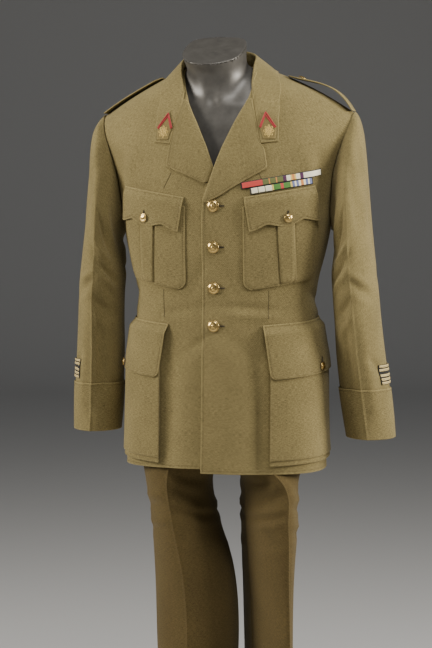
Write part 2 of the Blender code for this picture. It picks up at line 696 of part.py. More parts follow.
# Skirt pockets: a bellows bag that stands proud, under a deep flap.
SKIRT_INNER = 0.1060
SKIRT_OUTER = 0.3180
SKIRT_BOTTOM = 0.8170
SKIRT_TOP = 1.0620
SKIRT_SLOPE = 0.038
SKIRT_PROUD = 9.0 * MM
SKIRT_FLAP_START = (0.0922, 1.0840)
SKIRT_FLAP_TILT = math.radians(4.0)
SKIRT_FLAP_SKEW = math.radians(9.0)
SKIRT_FLAP_WIDE = 0.212
SKIRT_FLAP_DEEP = 0.104
SKIRT_FLAP_OUT = 12.2 * MM
SKIRT_FLAP_CORNER = 0.012
SKIRT_BUTTON = (0.106, 0.0890)


def bag_grid(side, inset, side_low, side_out, face_out):
    """A tray's surface: its rim, the top of its sides, and its face."""
    edge = (inset, inset + 1.5 * MM, inset + 9 * MM)
    spans_x, spans_z = SKIRT_OUTER - SKIRT_INNER, SKIRT_TOP - SKIRT_BOTTOM
    us = [*edge, *(spans_x * np.linspace(0.13, 0.87, 10)), *(spans_x - e for e in edge[::-1])]
    vs = [*edge, 0.35 * spans_z, 0.65 * spans_z, *(spans_z - e for e in edge[::-1])]
    level_x = [0, 1, *[2] * 12, 1, 0]
    level_z = [0, 1, 2, 2, 2, 2, 1, 0]
    outs = np.array([side_low, side_out, face_out])
    arcs = SKIRT_INNER + np.array(us)[None, :] + np.zeros((len(vs), 1))
    heights = SKIRT_BOTTOM + np.array(vs)[:, None] + (arcs - SKIRT_INNER) * SKIRT_SLOPE
    high = outs[np.minimum(np.array(level_z)[:, None], np.array(level_x)[None, :])]
    return on_front(side, arcs, heights, high)


def make_skirt_pocket(side_name):
    side = SIDES[side_name]
    outer = bag_grid(side, 0.0, LIE, SKIRT_PROUD - 1.2 * MM, SKIRT_PROUD)
    inner = bag_grid(side, CLOTH, LIE, SKIRT_PROUD - CLOTH - 1.0 * MM, SKIRT_PROUD - CLOTH)
    return wall(f"skirt_pocket_{side_name}", outer, inner, tunic_cloth())


def skirt_flap_place(along, down):
    arc = SKIRT_FLAP_START[0] + along * math.cos(SKIRT_FLAP_TILT) + down * math.sin(SKIRT_FLAP_SKEW)
    rise = along * math.sin(SKIRT_FLAP_TILT) - down * math.cos(SKIRT_FLAP_SKEW)
    return arc, SKIRT_FLAP_START[1] + rise


def make_skirt_flap(side_name):
    side = SIDES[side_name]
    downs = SKIRT_FLAP_DEEP - np.array([0, 0.0018, 0.0050, 0.012, 0.05, 0.078, 0.090, 0.104])
    insets = [corner_inset(SKIRT_FLAP_DEEP - d, SKIRT_FLAP_CORNER) for d in downs]
    shares = np.linspace(0, 1, 13)
    along = np.array([i + (SKIRT_FLAP_WIDE - 2 * i) * shares for i in insets])
    high = RIM + (SKIRT_FLAP_OUT - RIM) * ease(downs, 0, 0.020)
    high = high[:, None] * np.ones_like(along)
    arcs, heights = skirt_flap_place(along, downs[:, None])
    outer, inner = on_front(side, arcs, heights, high), on_front(side, arcs, heights, high - CLOTH)
    return wall(f"skirt_flap_{side_name}", outer, inner, tunic_cloth())


# Shoulder straps lie along the ridge from the sleeve head; the left one bows up.
STRAP_OUTER_X = 0.2440
STRAP_INNER_X = 0.1240
STRAP_HALF = 0.0240
STRAP_TIP_HALF = 0.0100
STRAP_GAP = {"left": 0.0150, "right": 0.0010}
STRAP_BOW_AT = 0.62
STRAP_THICK = 2.4 * MM
STRAP_BUTTON_SHARE = 0.17


def ridge_point(x):
    """A point of the shoulder ridge at a distance from the middle."""
    z = TUNIC[-1].height - SHOULDER_FALL * (abs(x) / SHOULDER_HALF) ** FALL_POWER
    return np.array([x + lean(abs(x), z), TUNIC[-1].shift, z])


def strap_point(side_name, share, across, out):
    """A strap's surface: share 0 at its tip by the collar, 1 at the sleeve head."""
    side = SIDES[side_name]
    x = STRAP_INNER_X + (STRAP_OUTER_X - STRAP_INNER_X) * share
    bow = math.sin(math.pi * share ** (math.log(0.5) / math.log(STRAP_BOW_AT)))
    point = ridge_point(side * x)
    slope = (ridge_point(side * (x + MM)) - ridge_point(side * (x - MM))) * side
    normal = np.cross(slope, (0, 1, 0))
    normal /= np.linalg.norm(normal)
    if normal[2] < 0:
        normal = -normal
    return point + (0, across, 0) + normal * (out + 2 * SEAM + STRAP_GAP[side_name] * bow)


def make_strap(side_name):
    shares = (0, 0.03, 0.09, 0.2, 0.35, 0.5, 0.65, 0.8, 0.92, 1)
    halves = [STRAP_TIP_HALF + (STRAP_HALF - STRAP_TIP_HALF) * min(1, s / 0.12) ** 0.6 for s in shares]
    across = np.linspace(-1, 1, 5)
    grids = []
    for out in (STRAP_THICK, 0):
        rows = [[strap_point(side_name, s, h * a, out) for a in across] for s, h in zip(shares, halves)]
        grids.append(np.array(rows))
    return wall(f"shoulder_strap_{side_name}", *grids, tunic_cloth())


# Collar patches: a five-sided patch, pointing up, near each collar end.
PatchRow = namedtuple("PatchRow", "height inner outer")
PATCH = (
    PatchRow(1.4330, 0.0925, 0.1150),
    PatchRow(1.4450, 0.0890, 0.1165),
    PatchRow(1.4560, 0.0845, 0.1165),
    PatchRow(1.4700, 0.0885, 0.1060),
    PatchRow(1.4830, 0.0935, 0.0965),
)
PATCH_LOW = COLLAR_MIDDLE + CLOTH / 2 + 1.6 * SEAM
PATCH_THICK = 1.2 * MM


def make_collar_patch(side_name):
    shares = np.array([0, 0.5, 1])
    arcs = np.array([row.inner + (row.outer - row.inner) * shares for row in PATCH])
    heights = np.array([[row.height] * 3 for row in PATCH])
    low = on_front(SIDES[side_name], arcs, heights, PATCH_LOW)
    high = on_front(SIDES[side_name], arcs, heights, PATCH_LOW + PATCH_THICK)
    return wall(f"collar_patch_{side_name}", high, low, material("patch_cloth", (0.10, 0.08, 0.04), 0.9))


# Medal ribbons: two rows on stiff bars over the left chest pocket.
RibbonRow = namedtuple("RibbonRow", "name middle_across middle_height length tall")
RIBBON_ROWS = (
    RibbonRow("top", 0.1308, 1.3592, 0.1570, 0.0120),
    RibbonRow("bottom", 0.1290, 1.3460, 0.1180, 0.0120),
)
RIBBON_TILT = math.radians(9.8)
RIBBON_LOW = 0.6 * MM
RIBBON_THICK = 2.6 * MM


def make_ribbon_row(row):
    along = np.linspace(-0.5, 0.5, 10) * row.length
    up = np.array([-0.5, 0.5])[:, None] * row.tall
    arcs = row.middle_across + along * math.cos(RIBBON_TILT) - up * math.sin(RIBBON_TILT)
    heights = row.middle_height + along * math.sin(RIBBON_TILT) + up * math.cos(RIBBON_TILT)
    low = on_front(1, arcs, heights, RIBBON_LOW)
    high = on_front(1, arcs, heights, RIBBON_LOW + RIBBON_THICK)
    return wall(f"ribbon_row_{row.name}", high, low, material("ribbon_silk", (0.45, 0.35, 0.2), 0.7))


# Buttons: a turned dome on a short shank, at each fastening.
FRONT_BUTTON_HEIGHTS = (1.3087, 1.2315, 1.1543, 1.0823)
FRONT_BUTTON_HALF = 0.0110
SMALL_BUTTON_HALF = 0.0078


def make_button(name, place, direction, radius, sides):
    """A domed button whose shank starts at place and points in a direction."""
    direction = np.asarray(direction, float) / np.linalg.norm(direction)
    across = np.cross(direction, (0, 0, 1.0))
    across /= np.linalg.norm(across)
    up = np.cross(across, direction)
    profile = ((0.25, 0.00), (0.25, 0.12), (0.92, 0.16), (1.00, 0.24), (0.88, 0.36), (0.5, 0.50))
    points, faces = [place], []
    for radial, high in profile:
        for k in range(sides):
            turn = 2 * math.pi * k / sides
            spoke = across * math.cos(turn) + up * math.sin(turn)
            points.append(place + spoke * radial * radius + direction * high * radius)
    points.append(place + direction * 0.54 * radius)
    last = len(points) - 1
    for k in range(sides):
        n = (k + 1) % sides
        faces.append((0, 1 + n, 1 + k))
        faces.append((last, last - sides + k, last - sides + n))
        for ring in range(len(profile) - 1):
            low = 1 + ring * sides
            faces.append((low + k, low + n, low + sides + n, low + sides + k))
    return add_object(name, points, faces, brass())


def button_on_front(name, side, arc, z, out, radius, sides):
    """A button square to a front, standing a seam's gap above what is under it."""
    place = on_front(side, arc, z, out + SEAM)
    ahead = on_front(side, arc, z, out + 0.01)
    return make_button(name, place, ahead - place, radius, sides)


def make_buttons():
    for number, z in enumerate(FRONT_BUTTON_HEIGHTS, 1):
        button_on_front(f"front_button_{number}", 1, 0.0, z, 0.0, FRONT_BUTTON_HALF, 12)
    for side_name, side in SIDES.items():
        arc, z = chest_flap_place(*CHEST_BUTTON)
        button_on_front(f"chest_button_{side_name}", side, arc, z, CHEST_FLAP_OUT, SMALL_BUTTON_HALF, 8)
        arc, z = skirt_flap_place(*SKIRT_BUTTON)
        button_on_front(f"skirt_button_{side_name}", side, arc, z, SKIRT_FLAP_OUT, SMALL_BUTTON_HALF, 8)
        low = strap_point(side_name, STRAP_BUTTON_SHARE, 0, STRAP_THICK)
        high = strap_point(side_name, STRAP_BUTTON_SHARE, 0, STRAP_THICK + 0.01)
        place = low + (high - low) / 0.01 * 2 * SEAM
        make_button(f"strap_button_{side_name}", place, high - low, SMALL_BUTTON_HALF, 8)


# Trousers: hips that part into two legs, each leg a table of creased sections.
Hip = namedtuple("Hip", "height half_width front back")
HIPS = (
    Hip(0.800, 0.172, 0.108, 0.108),
    Hip(0.900, 0.176, 0.108, 0.107),
    Hip(0.960, 0.174, 0.106, 0.104),
    Hip(1.020, 0.168, 0.102, 0.096),
    Hip(1.090, 0.1605, 0.098, 0.084),
)
Leg = namedtuple("Leg", "height middle_x middle_y half_width half_depth twist crease")
LEGS = {
    "right": (
        Leg(0.040, -0.0780, 0.010, 0.050, 0.102, -6, 0.9),
        Leg(0.160, -0.0740, 0.006, 0.055, 0.100, -4, 0.9),
        Leg(0.300, -0.0640, 0.002, 0.070, 0.095, -2, 0.8),
        Leg(0.450, -0.0585, 0.000, 0.0815, 0.090, 0, 0.7),
        Leg(0.600, -0.0665, 0.000, 0.0775, 0.094, 0, 0.7),
        Leg(0.700, -0.0850, 0.000, 0.065, 0.100, 0, 0.6),
        Leg(0.780, -0.0950, -0.003, 0.066, 0.100, 0, 0.5),
        Leg(0.835, -0.0860, -0.003, 0.0855, 0.101, 0, 0.2),
        Leg(0.920, -0.0860, -0.003, 0.0855, 0.102, 0, 0.0),
    ),
    "left": (
        Leg(0.040, 0.0880, 0.010, 0.040, 0.106, 22, 0.9),
        Leg(0.160, 0.0870, 0.006, 0.036, 0.110, 26, 0.9),
        Leg(0.300, 0.0850, 0.002, 0.033, 0.114, 30, 0.9),
        Leg(0.450, 0.0830, 0.000, 0.032, 0.118, 32, 0.8),
        Leg(0.600, 0.0820, 0.000, 0.038, 0.118, 31, 0.7),
        Leg(0.700, 0.0845, 0.000, 0.047, 0.118, 29, 0.6),
        Leg(0.780, 0.0860, -0.003, 0.061, 0.104, 18, 0.5),
        Leg(0.835, 0.0860, -0.003, 0.0855, 0.101, 0, 0.2),
        Leg(0.920, 0.0860, -0.003, 0.0855, 0.102, 0, 0.0),
    ),
}
FORK_TOP = 0.925
FORK = 0.835
WAIST_SEAM = 1.088
WAISTBAND_TOP = 1.126
WAISTBAND = 3.0 * MM
FORM_SIDES = 24
LEG_COLUMNS = 7
LEG_HEIGHTS = (0.04, 0.16, 0.30, 0.45, 0.56, 0.66, 0.74, 0.79, 0.82, FORK, 0.855, 0.885, 0.925, 0.99, WAIST_SEAM)


def leg_point(side_name, face, q, z):
    """The trousers' outer surface: q runs from the inseam or centre seam to the outseam."""
    side, ahead = SIDES[side_name], (-1 if face == "front" else 1)
    q, z = np.broadcast_arrays(np.asarray(q, float), np.asarray(z, float))
    hip = {n: smooth([h.height for h in HIPS], [getattr(h, n) for h in HIPS], z) for n in Hip._fields[1:]}
    rows = LEGS[side_name]
    leg = {n: smooth([r.height for r in rows], [getattr(r, n) for r in rows], z) for n in Leg._fields[1:]}
    power = 2 / HIP_SQUARENESS
    turn = q * math.pi / 2
    hip_x = side * hip["half_width"] * np.abs(np.sin(turn)) ** power
    hip_y = ahead * hip[face] * np.abs(np.cos(turn)) ** power
    turn = (q - 0.5) * math.pi
    wide = np.sign(turn) * np.abs(np.sin(turn)) ** (1 + 0.35 * leg["crease"]) * leg["half_width"]
    deep = np.abs(np.cos(turn)) * leg["half_depth"] * ahead
    twist = np.radians(leg["twist"])
    leg_x = leg["middle_x"] + side * wide * np.cos(twist) - deep * np.sin(twist)
    leg_y = leg["middle_y"] + deep * np.cos(twist) + side * wide * np.sin(twist)
    share = 1 - ease(z, FORK, FORK_TOP)
    x, y = hip_x + (leg_x - hip_x) * share, hip_y + (leg_y - hip_y) * share
    clear = np.where(side * x < SEAM / 2, side * SEAM / 2, x)
    x = np.where(z >= FORK - 1e-6, clear, x)
    return np.stack([x, y, z], -1)


def make_leg(side_name, face):
    seam = SEAM / 0.4
    q = np.linspace(seam, 1 - seam, LEG_COLUMNS)[None, :]
    z = np.array(LEG_HEIGHTS)[:, None]
    points = leg_point(side_name, face, q, z)
    small = 0.004
    inward, outward = np.clip(q - small, 0, 1), np.clip(q + small, 0, 1)
    across = leg_point(side_name, face, outward, z) - leg_point(side_name, face, inward, z)
    low, high = np.maximum(z - small, LEG_HEIGHTS[0]), np.minimum(z + small, LEG_HEIGHTS[-1])
    up = leg_point(side_name, face, q, high) - leg_point(side_name, face, q, low)
    normals = np.cross(across, up) * (SIDES[side_name] * (1 if face == "front" else -1))
    normals /= np.linalg.norm(normals, axis=-1, keepdims=True)
    return wall(f"trouser_{face}_{side_name}", points, points - normals * CLOTH, trouser_cloth())


def hip_ring(z, out, sides, hip=None):
    """A closed ring of the hips' section, moved out."""
    hip = hip or HIPS[-1]
    turns = np.linspace(0, 2 * math.pi, sides, endpoint=False)
    power = 2 / HIP_SQUARENESS
    s, c = np.sin(turns), np.cos(turns)
    depth = np.where(c > 0, hip.front, hip.back) + out
    x = (hip.half_width + out) * np.sign(s) * np.abs(s) ** power
    y = -depth * np.sign(c) * np.abs(c) ** power
    return np.stack([x, y, np.full(sides, z)], -1)


def make_waistband():
    heights = (WAIST_SEAM + SEAM, (WAIST_SEAM + WAISTBAND_TOP) / 2, WAISTBAND_TOP)
    outer = np.array([hip_ring(z, MM, FORM_SIDES) for z in heights])
    inner = np.array([hip_ring(z, MM - WAISTBAND, FORM_SIDES) for z in heights])
    return wall("waistband", outer, inner, trouser_cloth(), tube=True)


# The form: a smooth torso under the cloth, a neck cut on a slant, a pole and a base.
FormRow = namedtuple("FormRow", "height half_width front back shift")
FORM = (
    FormRow(0.932, 0.1560, 0.0880, 0.0860, 0.0),
    FormRow(0.940, 0.1660, 0.0980, 0.0960, 0.0),
    FormRow(0.980, 0.1660, 0.0990, 0.0950, 0.0),
    FormRow(1.030, 0.1600, 0.0945, 0.0880, 0.0),
    FormRow(1.084, 0.1555, 0.0930, 0.0790, 0.0),
    FormRow(1.091, 0.1578, 0.0953, 0.0813, 0.0),
    FormRow(1.126, 0.1578, 0.0953, 0.0813, 0.0),
    FormRow(1.170, 0.1620, 0.0970, 0.0850, 0.0),
    FormRow(1.240, 0.1740, 0.1000, 0.0950, 0.0),
    FormRow(1.320, 0.1840, 0.1020, 0.1040, 0.0),
    FormRow(1.390, 0.1920, 0.1000, 0.1080, 0.0),
    FormRow(1.445, 0.2000, 0.0950, 0.1060, 0.002),
    FormRow(1.495, 0.2100, 0.0860, 0.0980, 0.005),
    FormRow(1.535, 0.2200, 0.0710, 0.0820, 0.008),
    FormRow(1.563, 0.2270, 0.0520, 0.0600, 0.010),
    FormRow(1.5790, 0.2310, 0.0270, 0.0300, 0.012),
    FormRow(1.5865, 0.2330, 0.0020, 0.0020, 0.012),
)
NeckRow = namedtuple("NeckRow", "height middle_x middle_y half_width half_depth slant")
NECK = (
    NeckRow(1.520, -0.0100, -0.012, 0.0700, 0.0640, 0.00),
    NeckRow(1.548, -0.0130, -0.020, 0.0620, 0.0610, 0.05),
    NeckRow(1.575, -0.0160, -0.028, 0.0605, 0.0610, 0.20),
    NeckRow(1.605, -0.0190, -0.036, 0.0615, 0.0630, 0.50),
)
POLE_X = -0.0740
POLE_Y = 0.004
POLE_HALF = 0.0125
BASE_HALF = 0.200
BASE_THICK = 0.009


def form_ring(row):
    turns = np.linspace(0, 2 * math.pi, FORM_SIDES, endpoint=False)
    power = 2 / (HIP_SQUARENESS + (SQUARENESS - HIP_SQUARENESS) * ease(row.height, 1.13, 1.39))
    s, c = np.sin(turns), np.cos(turns)
    x = row.half_width * np.abs(s) ** power
    y = row.shift - np.where(c > 0, row.front, row.back) * np.sign(c) * np.abs(c) ** power
    z = row.height - shoulder_fall(row.height, x)
    return np.stack([np.sign(s) * x + lean(x, z), y, z], -1)


def loft(name, rings, finish):
    """A closed solid through rings of equal point counts, with fan caps."""
    sides = len(rings[0])
    points = [rings[0].mean(0), *np.concatenate(rings), rings[-1].mean(0)]
    last = len(points) - 1
    faces = []
    for k in range(sides):
        n = (k + 1) % sides
        faces.append((0, 1 + n, 1 + k))
        faces.append((last, last - sides + k, last - sides + n))
        for r in range(len(rings) - 1):
            low = 1 + r * sides
            faces.append((low + k, low + n, low + sides + n, low + sides + k))
    return add_object(name, points, faces, finish)


def neck_ring(row):
    turns = np.linspace(0, 2 * math.pi, FORM_SIDES, endpoint=False)
    x = row.middle_x + row.half_width * np.sin(turns)
    y = row.middle_y - row.half_depth * np.cos(turns)
    return np.stack([x, y, row.height + (y - row.middle_y) * row.slant], -1)


def make_form():
    """The torso and the neck, joined into one closed body."""
    torso = loft("dress_form", [form_ring(row) for row in FORM], form_gloss())
    neck = loft("neck_cutter", [neck_ring(row) for row in NECK], form_gloss())
    join = torso.modifiers.new("neck", "BOOLEAN")
    join.operation = "UNION"
    join.object = neck
    neck.hide_render = True
    neck.display_type = "WIRE"
    return torso


def make_turned(name, profile, x, y, sides, finish):
    """A solid of revolution about an upright axis; profile holds radius and height."""
    turns = np.linspace(0, 2 * math.pi, sides, endpoint=False)
    rings = [np.stack([x + r * np.cos(turns), y + r * np.sin(turns), np.full(sides, z)], -1) for r, z in profile]
    return loft(name, rings, finish)


def make_stand():
    top = FORM[0].height - SEAM
    make_turned(
        "stand_pole",
        (
            (0.024, BASE_THICK + SEAM),
            (0.024, 0.030),
            (POLE_HALF, 0.034),
            (POLE_HALF, top - 0.02),
            (0.020, top - 0.012),
            (0.020, top),
        ),
        POLE_X,
        POLE_Y,
        16,
        material("stand_metal", (0.05, 0.048, 0.045), 0.35, 0.6),
    )
    make_turned(
        "base_plate",
        ((BASE_HALF, 0), (BASE_HALF, BASE_THICK - 0.002), (BASE_HALF - 0.002, BASE_THICK)),
        0,
        0,
        36,
        material("stand_metal", (0.05, 0.048, 0.045), 0.35, 0.6),
    )


def clear_scene():
    for old in list(bpy.data.objects):
        bpy.data.objects.remove(old, do_unlink=True)


def build():
    clear_scene()
    for side_name in SIDES:
        make_front(side_name)
        make_back(side_name)
        make_lapel(side_name)
        make_sleeve(side_name)
        make_cuff(side_name)
        make_service_bars(side_name)
        make_chest_pocket(side_name)
        make_chest_flap(side_name)
        make_skirt_pocket(side_name)
        make_skirt_flap(side_name)
        make_strap(side_name)
        make_collar_patch(side_name)
        for face in ("front", "back"):
            make_leg(side_name, face)
    make_collar()
    for row in RIBBON_ROWS:
        make_ribbon_row(row)
    make_buttons()
    make_waistband()
    make_form()
    make_stand()


build()
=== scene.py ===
import math

import bmesh
import bpy
import numpy as np
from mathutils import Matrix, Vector


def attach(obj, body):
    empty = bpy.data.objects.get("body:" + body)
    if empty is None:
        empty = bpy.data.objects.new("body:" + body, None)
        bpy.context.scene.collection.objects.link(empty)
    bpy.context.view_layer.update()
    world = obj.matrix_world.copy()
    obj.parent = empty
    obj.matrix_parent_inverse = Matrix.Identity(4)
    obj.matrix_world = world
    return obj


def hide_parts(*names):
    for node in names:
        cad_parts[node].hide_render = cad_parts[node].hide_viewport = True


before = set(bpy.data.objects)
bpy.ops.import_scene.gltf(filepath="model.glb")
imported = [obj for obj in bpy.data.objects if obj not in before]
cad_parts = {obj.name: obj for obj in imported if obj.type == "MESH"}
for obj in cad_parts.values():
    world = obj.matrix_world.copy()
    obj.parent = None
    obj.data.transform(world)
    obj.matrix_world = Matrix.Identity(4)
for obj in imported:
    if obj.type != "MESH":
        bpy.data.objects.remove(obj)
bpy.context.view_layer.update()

# The studio: a pale floor that curves up into a pale wall, soft lights at both sides of
# the camera and one overhead, and the camera standing a little to the wearer's left.
CAMERA_TURN = math.radians(13)
CAMERA_AWAY = 3.2
CAMERA_SHIFT = 0.0215
camera_right = Vector((math.cos(CAMERA_TURN), math.sin(CAMERA_TURN), 0))
camera_ahead = Vector((-math.sin(CAMERA_TURN), math.cos(CAMERA_TURN), 0))
camera = bpy.data.objects.new("camera", bpy.data.cameras.new("camera"))
bpy.context.scene.collection.objects.link(camera)
camera.data.lens, camera.data.sensor_width = 91.2, 36
camera.location = -camera_ahead * CAMERA_AWAY + Vector((0, 0, 1.32)) - camera_right * CAMERA_SHIFT
camera_aim = Vector((0, 0, 1.078)) - camera_right * CAMERA_SHIFT
camera.rotation_euler = (camera_aim - camera.location).to_track_quat("-Z", "Y").to_euler()
bpy.context.scene.camera = camera


def plain_material(name, colour, roughness, metallic=0.0):
    made = bpy.data.materials.new(name)
    made.use_nodes = True
    shader = made.node_tree.nodes["Principled BSDF"]
    shader.inputs["Base Color"].default_value = (*colour, 1)
    shader.inputs["Roughness"].default_value = roughness
    shader.inputs["Metallic"].default_value = metallic
    return made, shader


def add_piece(name, points, faces, finish):
    """A named object of one mesh; faces may be an array of fours or a list."""
    mesh = bpy.data.meshes.new(name)
    faces = faces.tolist() if isinstance(faces, np.ndarray) else faces
    mesh.from_pydata(np.asarray(points, float).tolist(), [], faces)
    mesh.shade_smooth()
    mesh.materials.append(finish)
    made = bpy.data.objects.new(name, mesh)
    bpy.context.scene.collection.objects.link(made)
    return made


sweep_turns = np.linspace(0, math.pi / 2, 17)
sweep = [(-14.0, 0.0)] + [(8.0 + 3.0 * math.sin(t), 3.0 - 3.0 * math.cos(t)) for t in sweep_turns] + [(11.0, 9.0)]
sweep_points = [
    (camera_ahead * ahead + camera_right * across + Vector((0, 0, up))).to_tuple()
    for ahead, up in sweep
    for across in (-14.0, 14.0)
]
sweep_faces = [(2 * k, 2 * k + 1, 2 * k + 3, 2 * k + 2) for k in range(len(sweep) - 1)]
floor_paint, _ = plain_material("studio_floor", (0.60, 0.59, 0.57), 0.9)
floor = add_piece("floor", sweep_points, sweep_faces, floor_paint)


def soft_light(name, across, ahead, up, aim_up, size, watts, tint=(1, 1, 1)):
    """A square soft box that faces a point on the stand's axis."""
    lamp = bpy.data.lights.new(name, "AREA")
    lamp.shape, lamp.size, lamp.energy, lamp.color = "SQUARE", size, watts, tint
    made = bpy.data.objects.new(name, lamp)
    bpy.context.scene.collection.objects.link(made)
    made.location = camera_right * across + camera_ahead * ahead + Vector((0, 0, up))
    made.rotation_euler = (Vector((0, 0, aim_up)) - made.location).to_track_quat("-Z", "Y").to_euler()


soft_light("left_soft_box", -2.5, -0.55, 2.0, 1.3, 1.0, 88, (1.0, 0.97, 0.92))
soft_light("right_soft_box", 2.6, -0.75, 2.0, 1.35, 1.0, 112, (1.0, 0.97, 0.92))
soft_light("top_soft_box", 0.4, -1.2, 3.1, 1.4, 1.0, 36)
world = bpy.data.worlds.new("studio_air")
bpy.context.scene.world = world
world.use_nodes = True
world.node_tree.nodes["Background"].inputs["Color"].default_value = (0.9, 0.94, 1.0, 1)
world.node_tree.nodes["Background"].inputs["Strength"].default_value = 0.09

# The tunic's fronts: two panels of khaki-olive wool with a diagonal weave, the left over
# the right. Each is cut in one from shoulder to hem, folded under at its edge and hem,
# top-stitched along the front edge and taken in by a dart below the chest pocket.
MM = 0.001
CLOTH = 2.0 * MM
SIDES = {"left": 1, "right": -1}
# The body's section at each level: height, half width, front depth, back depth, shift.
TUNIC = np.array(
    [
        (0.802, 0.197, 0.124, 0.118, 0.000),
        (0.860, 0.195, 0.121, 0.117, 0.000),
        (0.930, 0.193, 0.118, 0.115, 0.000),
        (1.000, 0.191, 0.116, 0.111, 0.000),
        (1.050, 0.184, 0.113, 0.103, 0.000),
        (1.090, 0.178, 0.111, 0.096, 0.000),
        (1.130, 0.175, 0.110, 0.092, 0.000),
        (1.170, 0.180, 0.111, 0.094, 0.000),
        (1.220, 0.193, 0.114, 0.102, 0.000),
        (1.270, 0.203, 0.116, 0.109, 0.000),
        (1.330, 0.209, 0.116, 0.114, 0.000),
        (1.390, 0.216, 0.113, 0.117, 0.000),
        (1.445, 0.228, 0.107, 0.114, 0.002),
        (1.495, 0.243, 0.097, 0.105, 0.005),
        (1.535, 0.258, 0.080, 0.088, 0.008),
        (1.563, 0.266, 0.060, 0.066, 0.010),
        (1.582, 0.270, 0.034, 0.037, 0.012),
        (1.590, 0.272, 0.000, 0.000, 0.012),
    ]
)
RIDGE = len(TUNIC) - 1
SHOULDER_HALF = 0.247
SHOULDER_FALL = 0.104


def table_curve(keys, values, at):
    """Values at in-between keys, on a smooth curve through a table's rows."""
    keys, values = np.asarray(keys, float), np.asarray(values, float)
    slopes = np.gradient(values, keys)
    at = np.clip(at, keys[0], keys[-1])
    row = np.clip(np.searchsorted(keys, at) - 1, 0, len(keys) - 2)
    step = keys[row + 1] - keys[row]
    f = (at - keys[row]) / step
    ends = (1 + 2 * f) * (1 - f) ** 2 * values[row] + f * f * (3 - 2 * f) * values[row + 1]
    return ends + f * (1 - f) * step * ((1 - f) * slopes[row] - f * slopes[row + 1])


def ease(value, start, end):
    f = np.clip((np.asarray(value, float) - start) / (end - start), 0, 1)
    return f * f * (3 - 2 * f)


def shoulder_fall(height, x):
    return SHOULDER_FALL * ease(height, 1.27, TUNIC[-1, 0]) * (x / SHOULDER_HALF) ** 1.6


def neck_lean(x, z):
    return -0.016 * ease(z, 1.51, 1.60) * np.clip(1 - x / SHOULDER_HALF, 0, 1)


def bare_point(angle, level):
    """The tunic's surface before the neck leans; the angle is 0 at centre front."""
    angle, level = np.broadcast_arrays(np.asarray(angle, float), np.asarray(level, float))
    height, half, front, back, shift = (table_curve(range(RIDGE + 1), TUNIC[:, k], level) for k in range(5))
    x = half * np.abs(np.sin(angle)) ** (2 / 2.35)
    c = np.cos(angle)
    y = shift - np.where(c > 0, front, back) * np.sign(c) * np.abs(c) ** (2 / 2.35)
    return np.stack([np.sign(angle) * x, y, height - shoulder_fall(height, x)], -1)


def tunic_point(angle, level):
    points = bare_point(angle, level)
    points[..., 0] += neck_lean(np.abs(points[..., 0]), points[..., 2])
    return points


def tunic_normal(angle, level):
    small = 0.004
    angle, level = np.broadcast_arrays(np.asarray(angle, float), np.asarray(level, float))
    around = tunic_point(angle + small, level) - tunic_point(angle - small, level)
    up = tunic_point(angle, np.minimum(level + small, RIDGE)) - tunic_point(angle, np.maximum(level - small, 0))
    normal = np.cross(around, up)
    normal[..., 1] *= np.clip(RIDGE - level, 0, 1) ** 0.5
    return normal / np.linalg.norm(normal, axis=-1, keepdims=True)


arc_levels = np.linspace(0, RIDGE, 10 * RIDGE + 1)
turn_samples = np.linspace(0, math.pi, 721)
ring_points = tunic_point(turn_samples[None, :], arc_levels[:, None])
ring_arcs = np.concatenate(
    [np.zeros((len(arc_levels), 1)), np.linalg.norm(np.diff(ring_points, axis=1), axis=2).cumsum(1)], 1
)
half_rounds = ring_arcs[:, -1]
arc_steps = np.arange(0, 700) * MM
arc_angles = np.array([np.interp(arc_steps, row, turn_samples) for row in ring_arcs])


def angle_at(arc, level):
    """The signed angle that lies a signed distance round from centre front."""
    arc, level = np.broadcast_arrays(np.asarray(arc, float), np.asarray(level, float))
    row = np.clip(level * 10, 0, len(arc_levels) - 1.001)
    col = np.clip(np.abs(arc) / MM, 0, len(arc_steps) - 1.001)
    r, c = row.astype(int), col.astype(int)
    fr, fc = row - r, col - c
    low = arc_angles[r, c] * (1 - fc) + arc_angles[r, c + 1] * fc
    high = arc_angles[r + 1, c] * (1 - fc) + arc_angles[r + 1, c + 1] * fc
    return np.sign(arc) * (low * (1 - fr) + high * fr)


fine_levels = np.linspace(0, RIDGE, 1701)
fine_heights = table_curve(range(RIDGE + 1), TUNIC[:, 0], fine_levels)


def find_on_tunic(arc, z):
    """The angle and level of the point at a distance round and a real height."""
    arc, z = np.broadcast_arrays(np.asarray(arc, float), np.asarray(z, float))
    height = z.copy()
    for _ in range(5):
        level = np.interp(height, fine_heights, fine_levels)
        angle = angle_at(arc, level)
        height = z + shoulder_fall(height, np.abs(bare_point(angle, level)[..., 0]))
    return angle, np.interp(height, fine_heights, fine_levels)


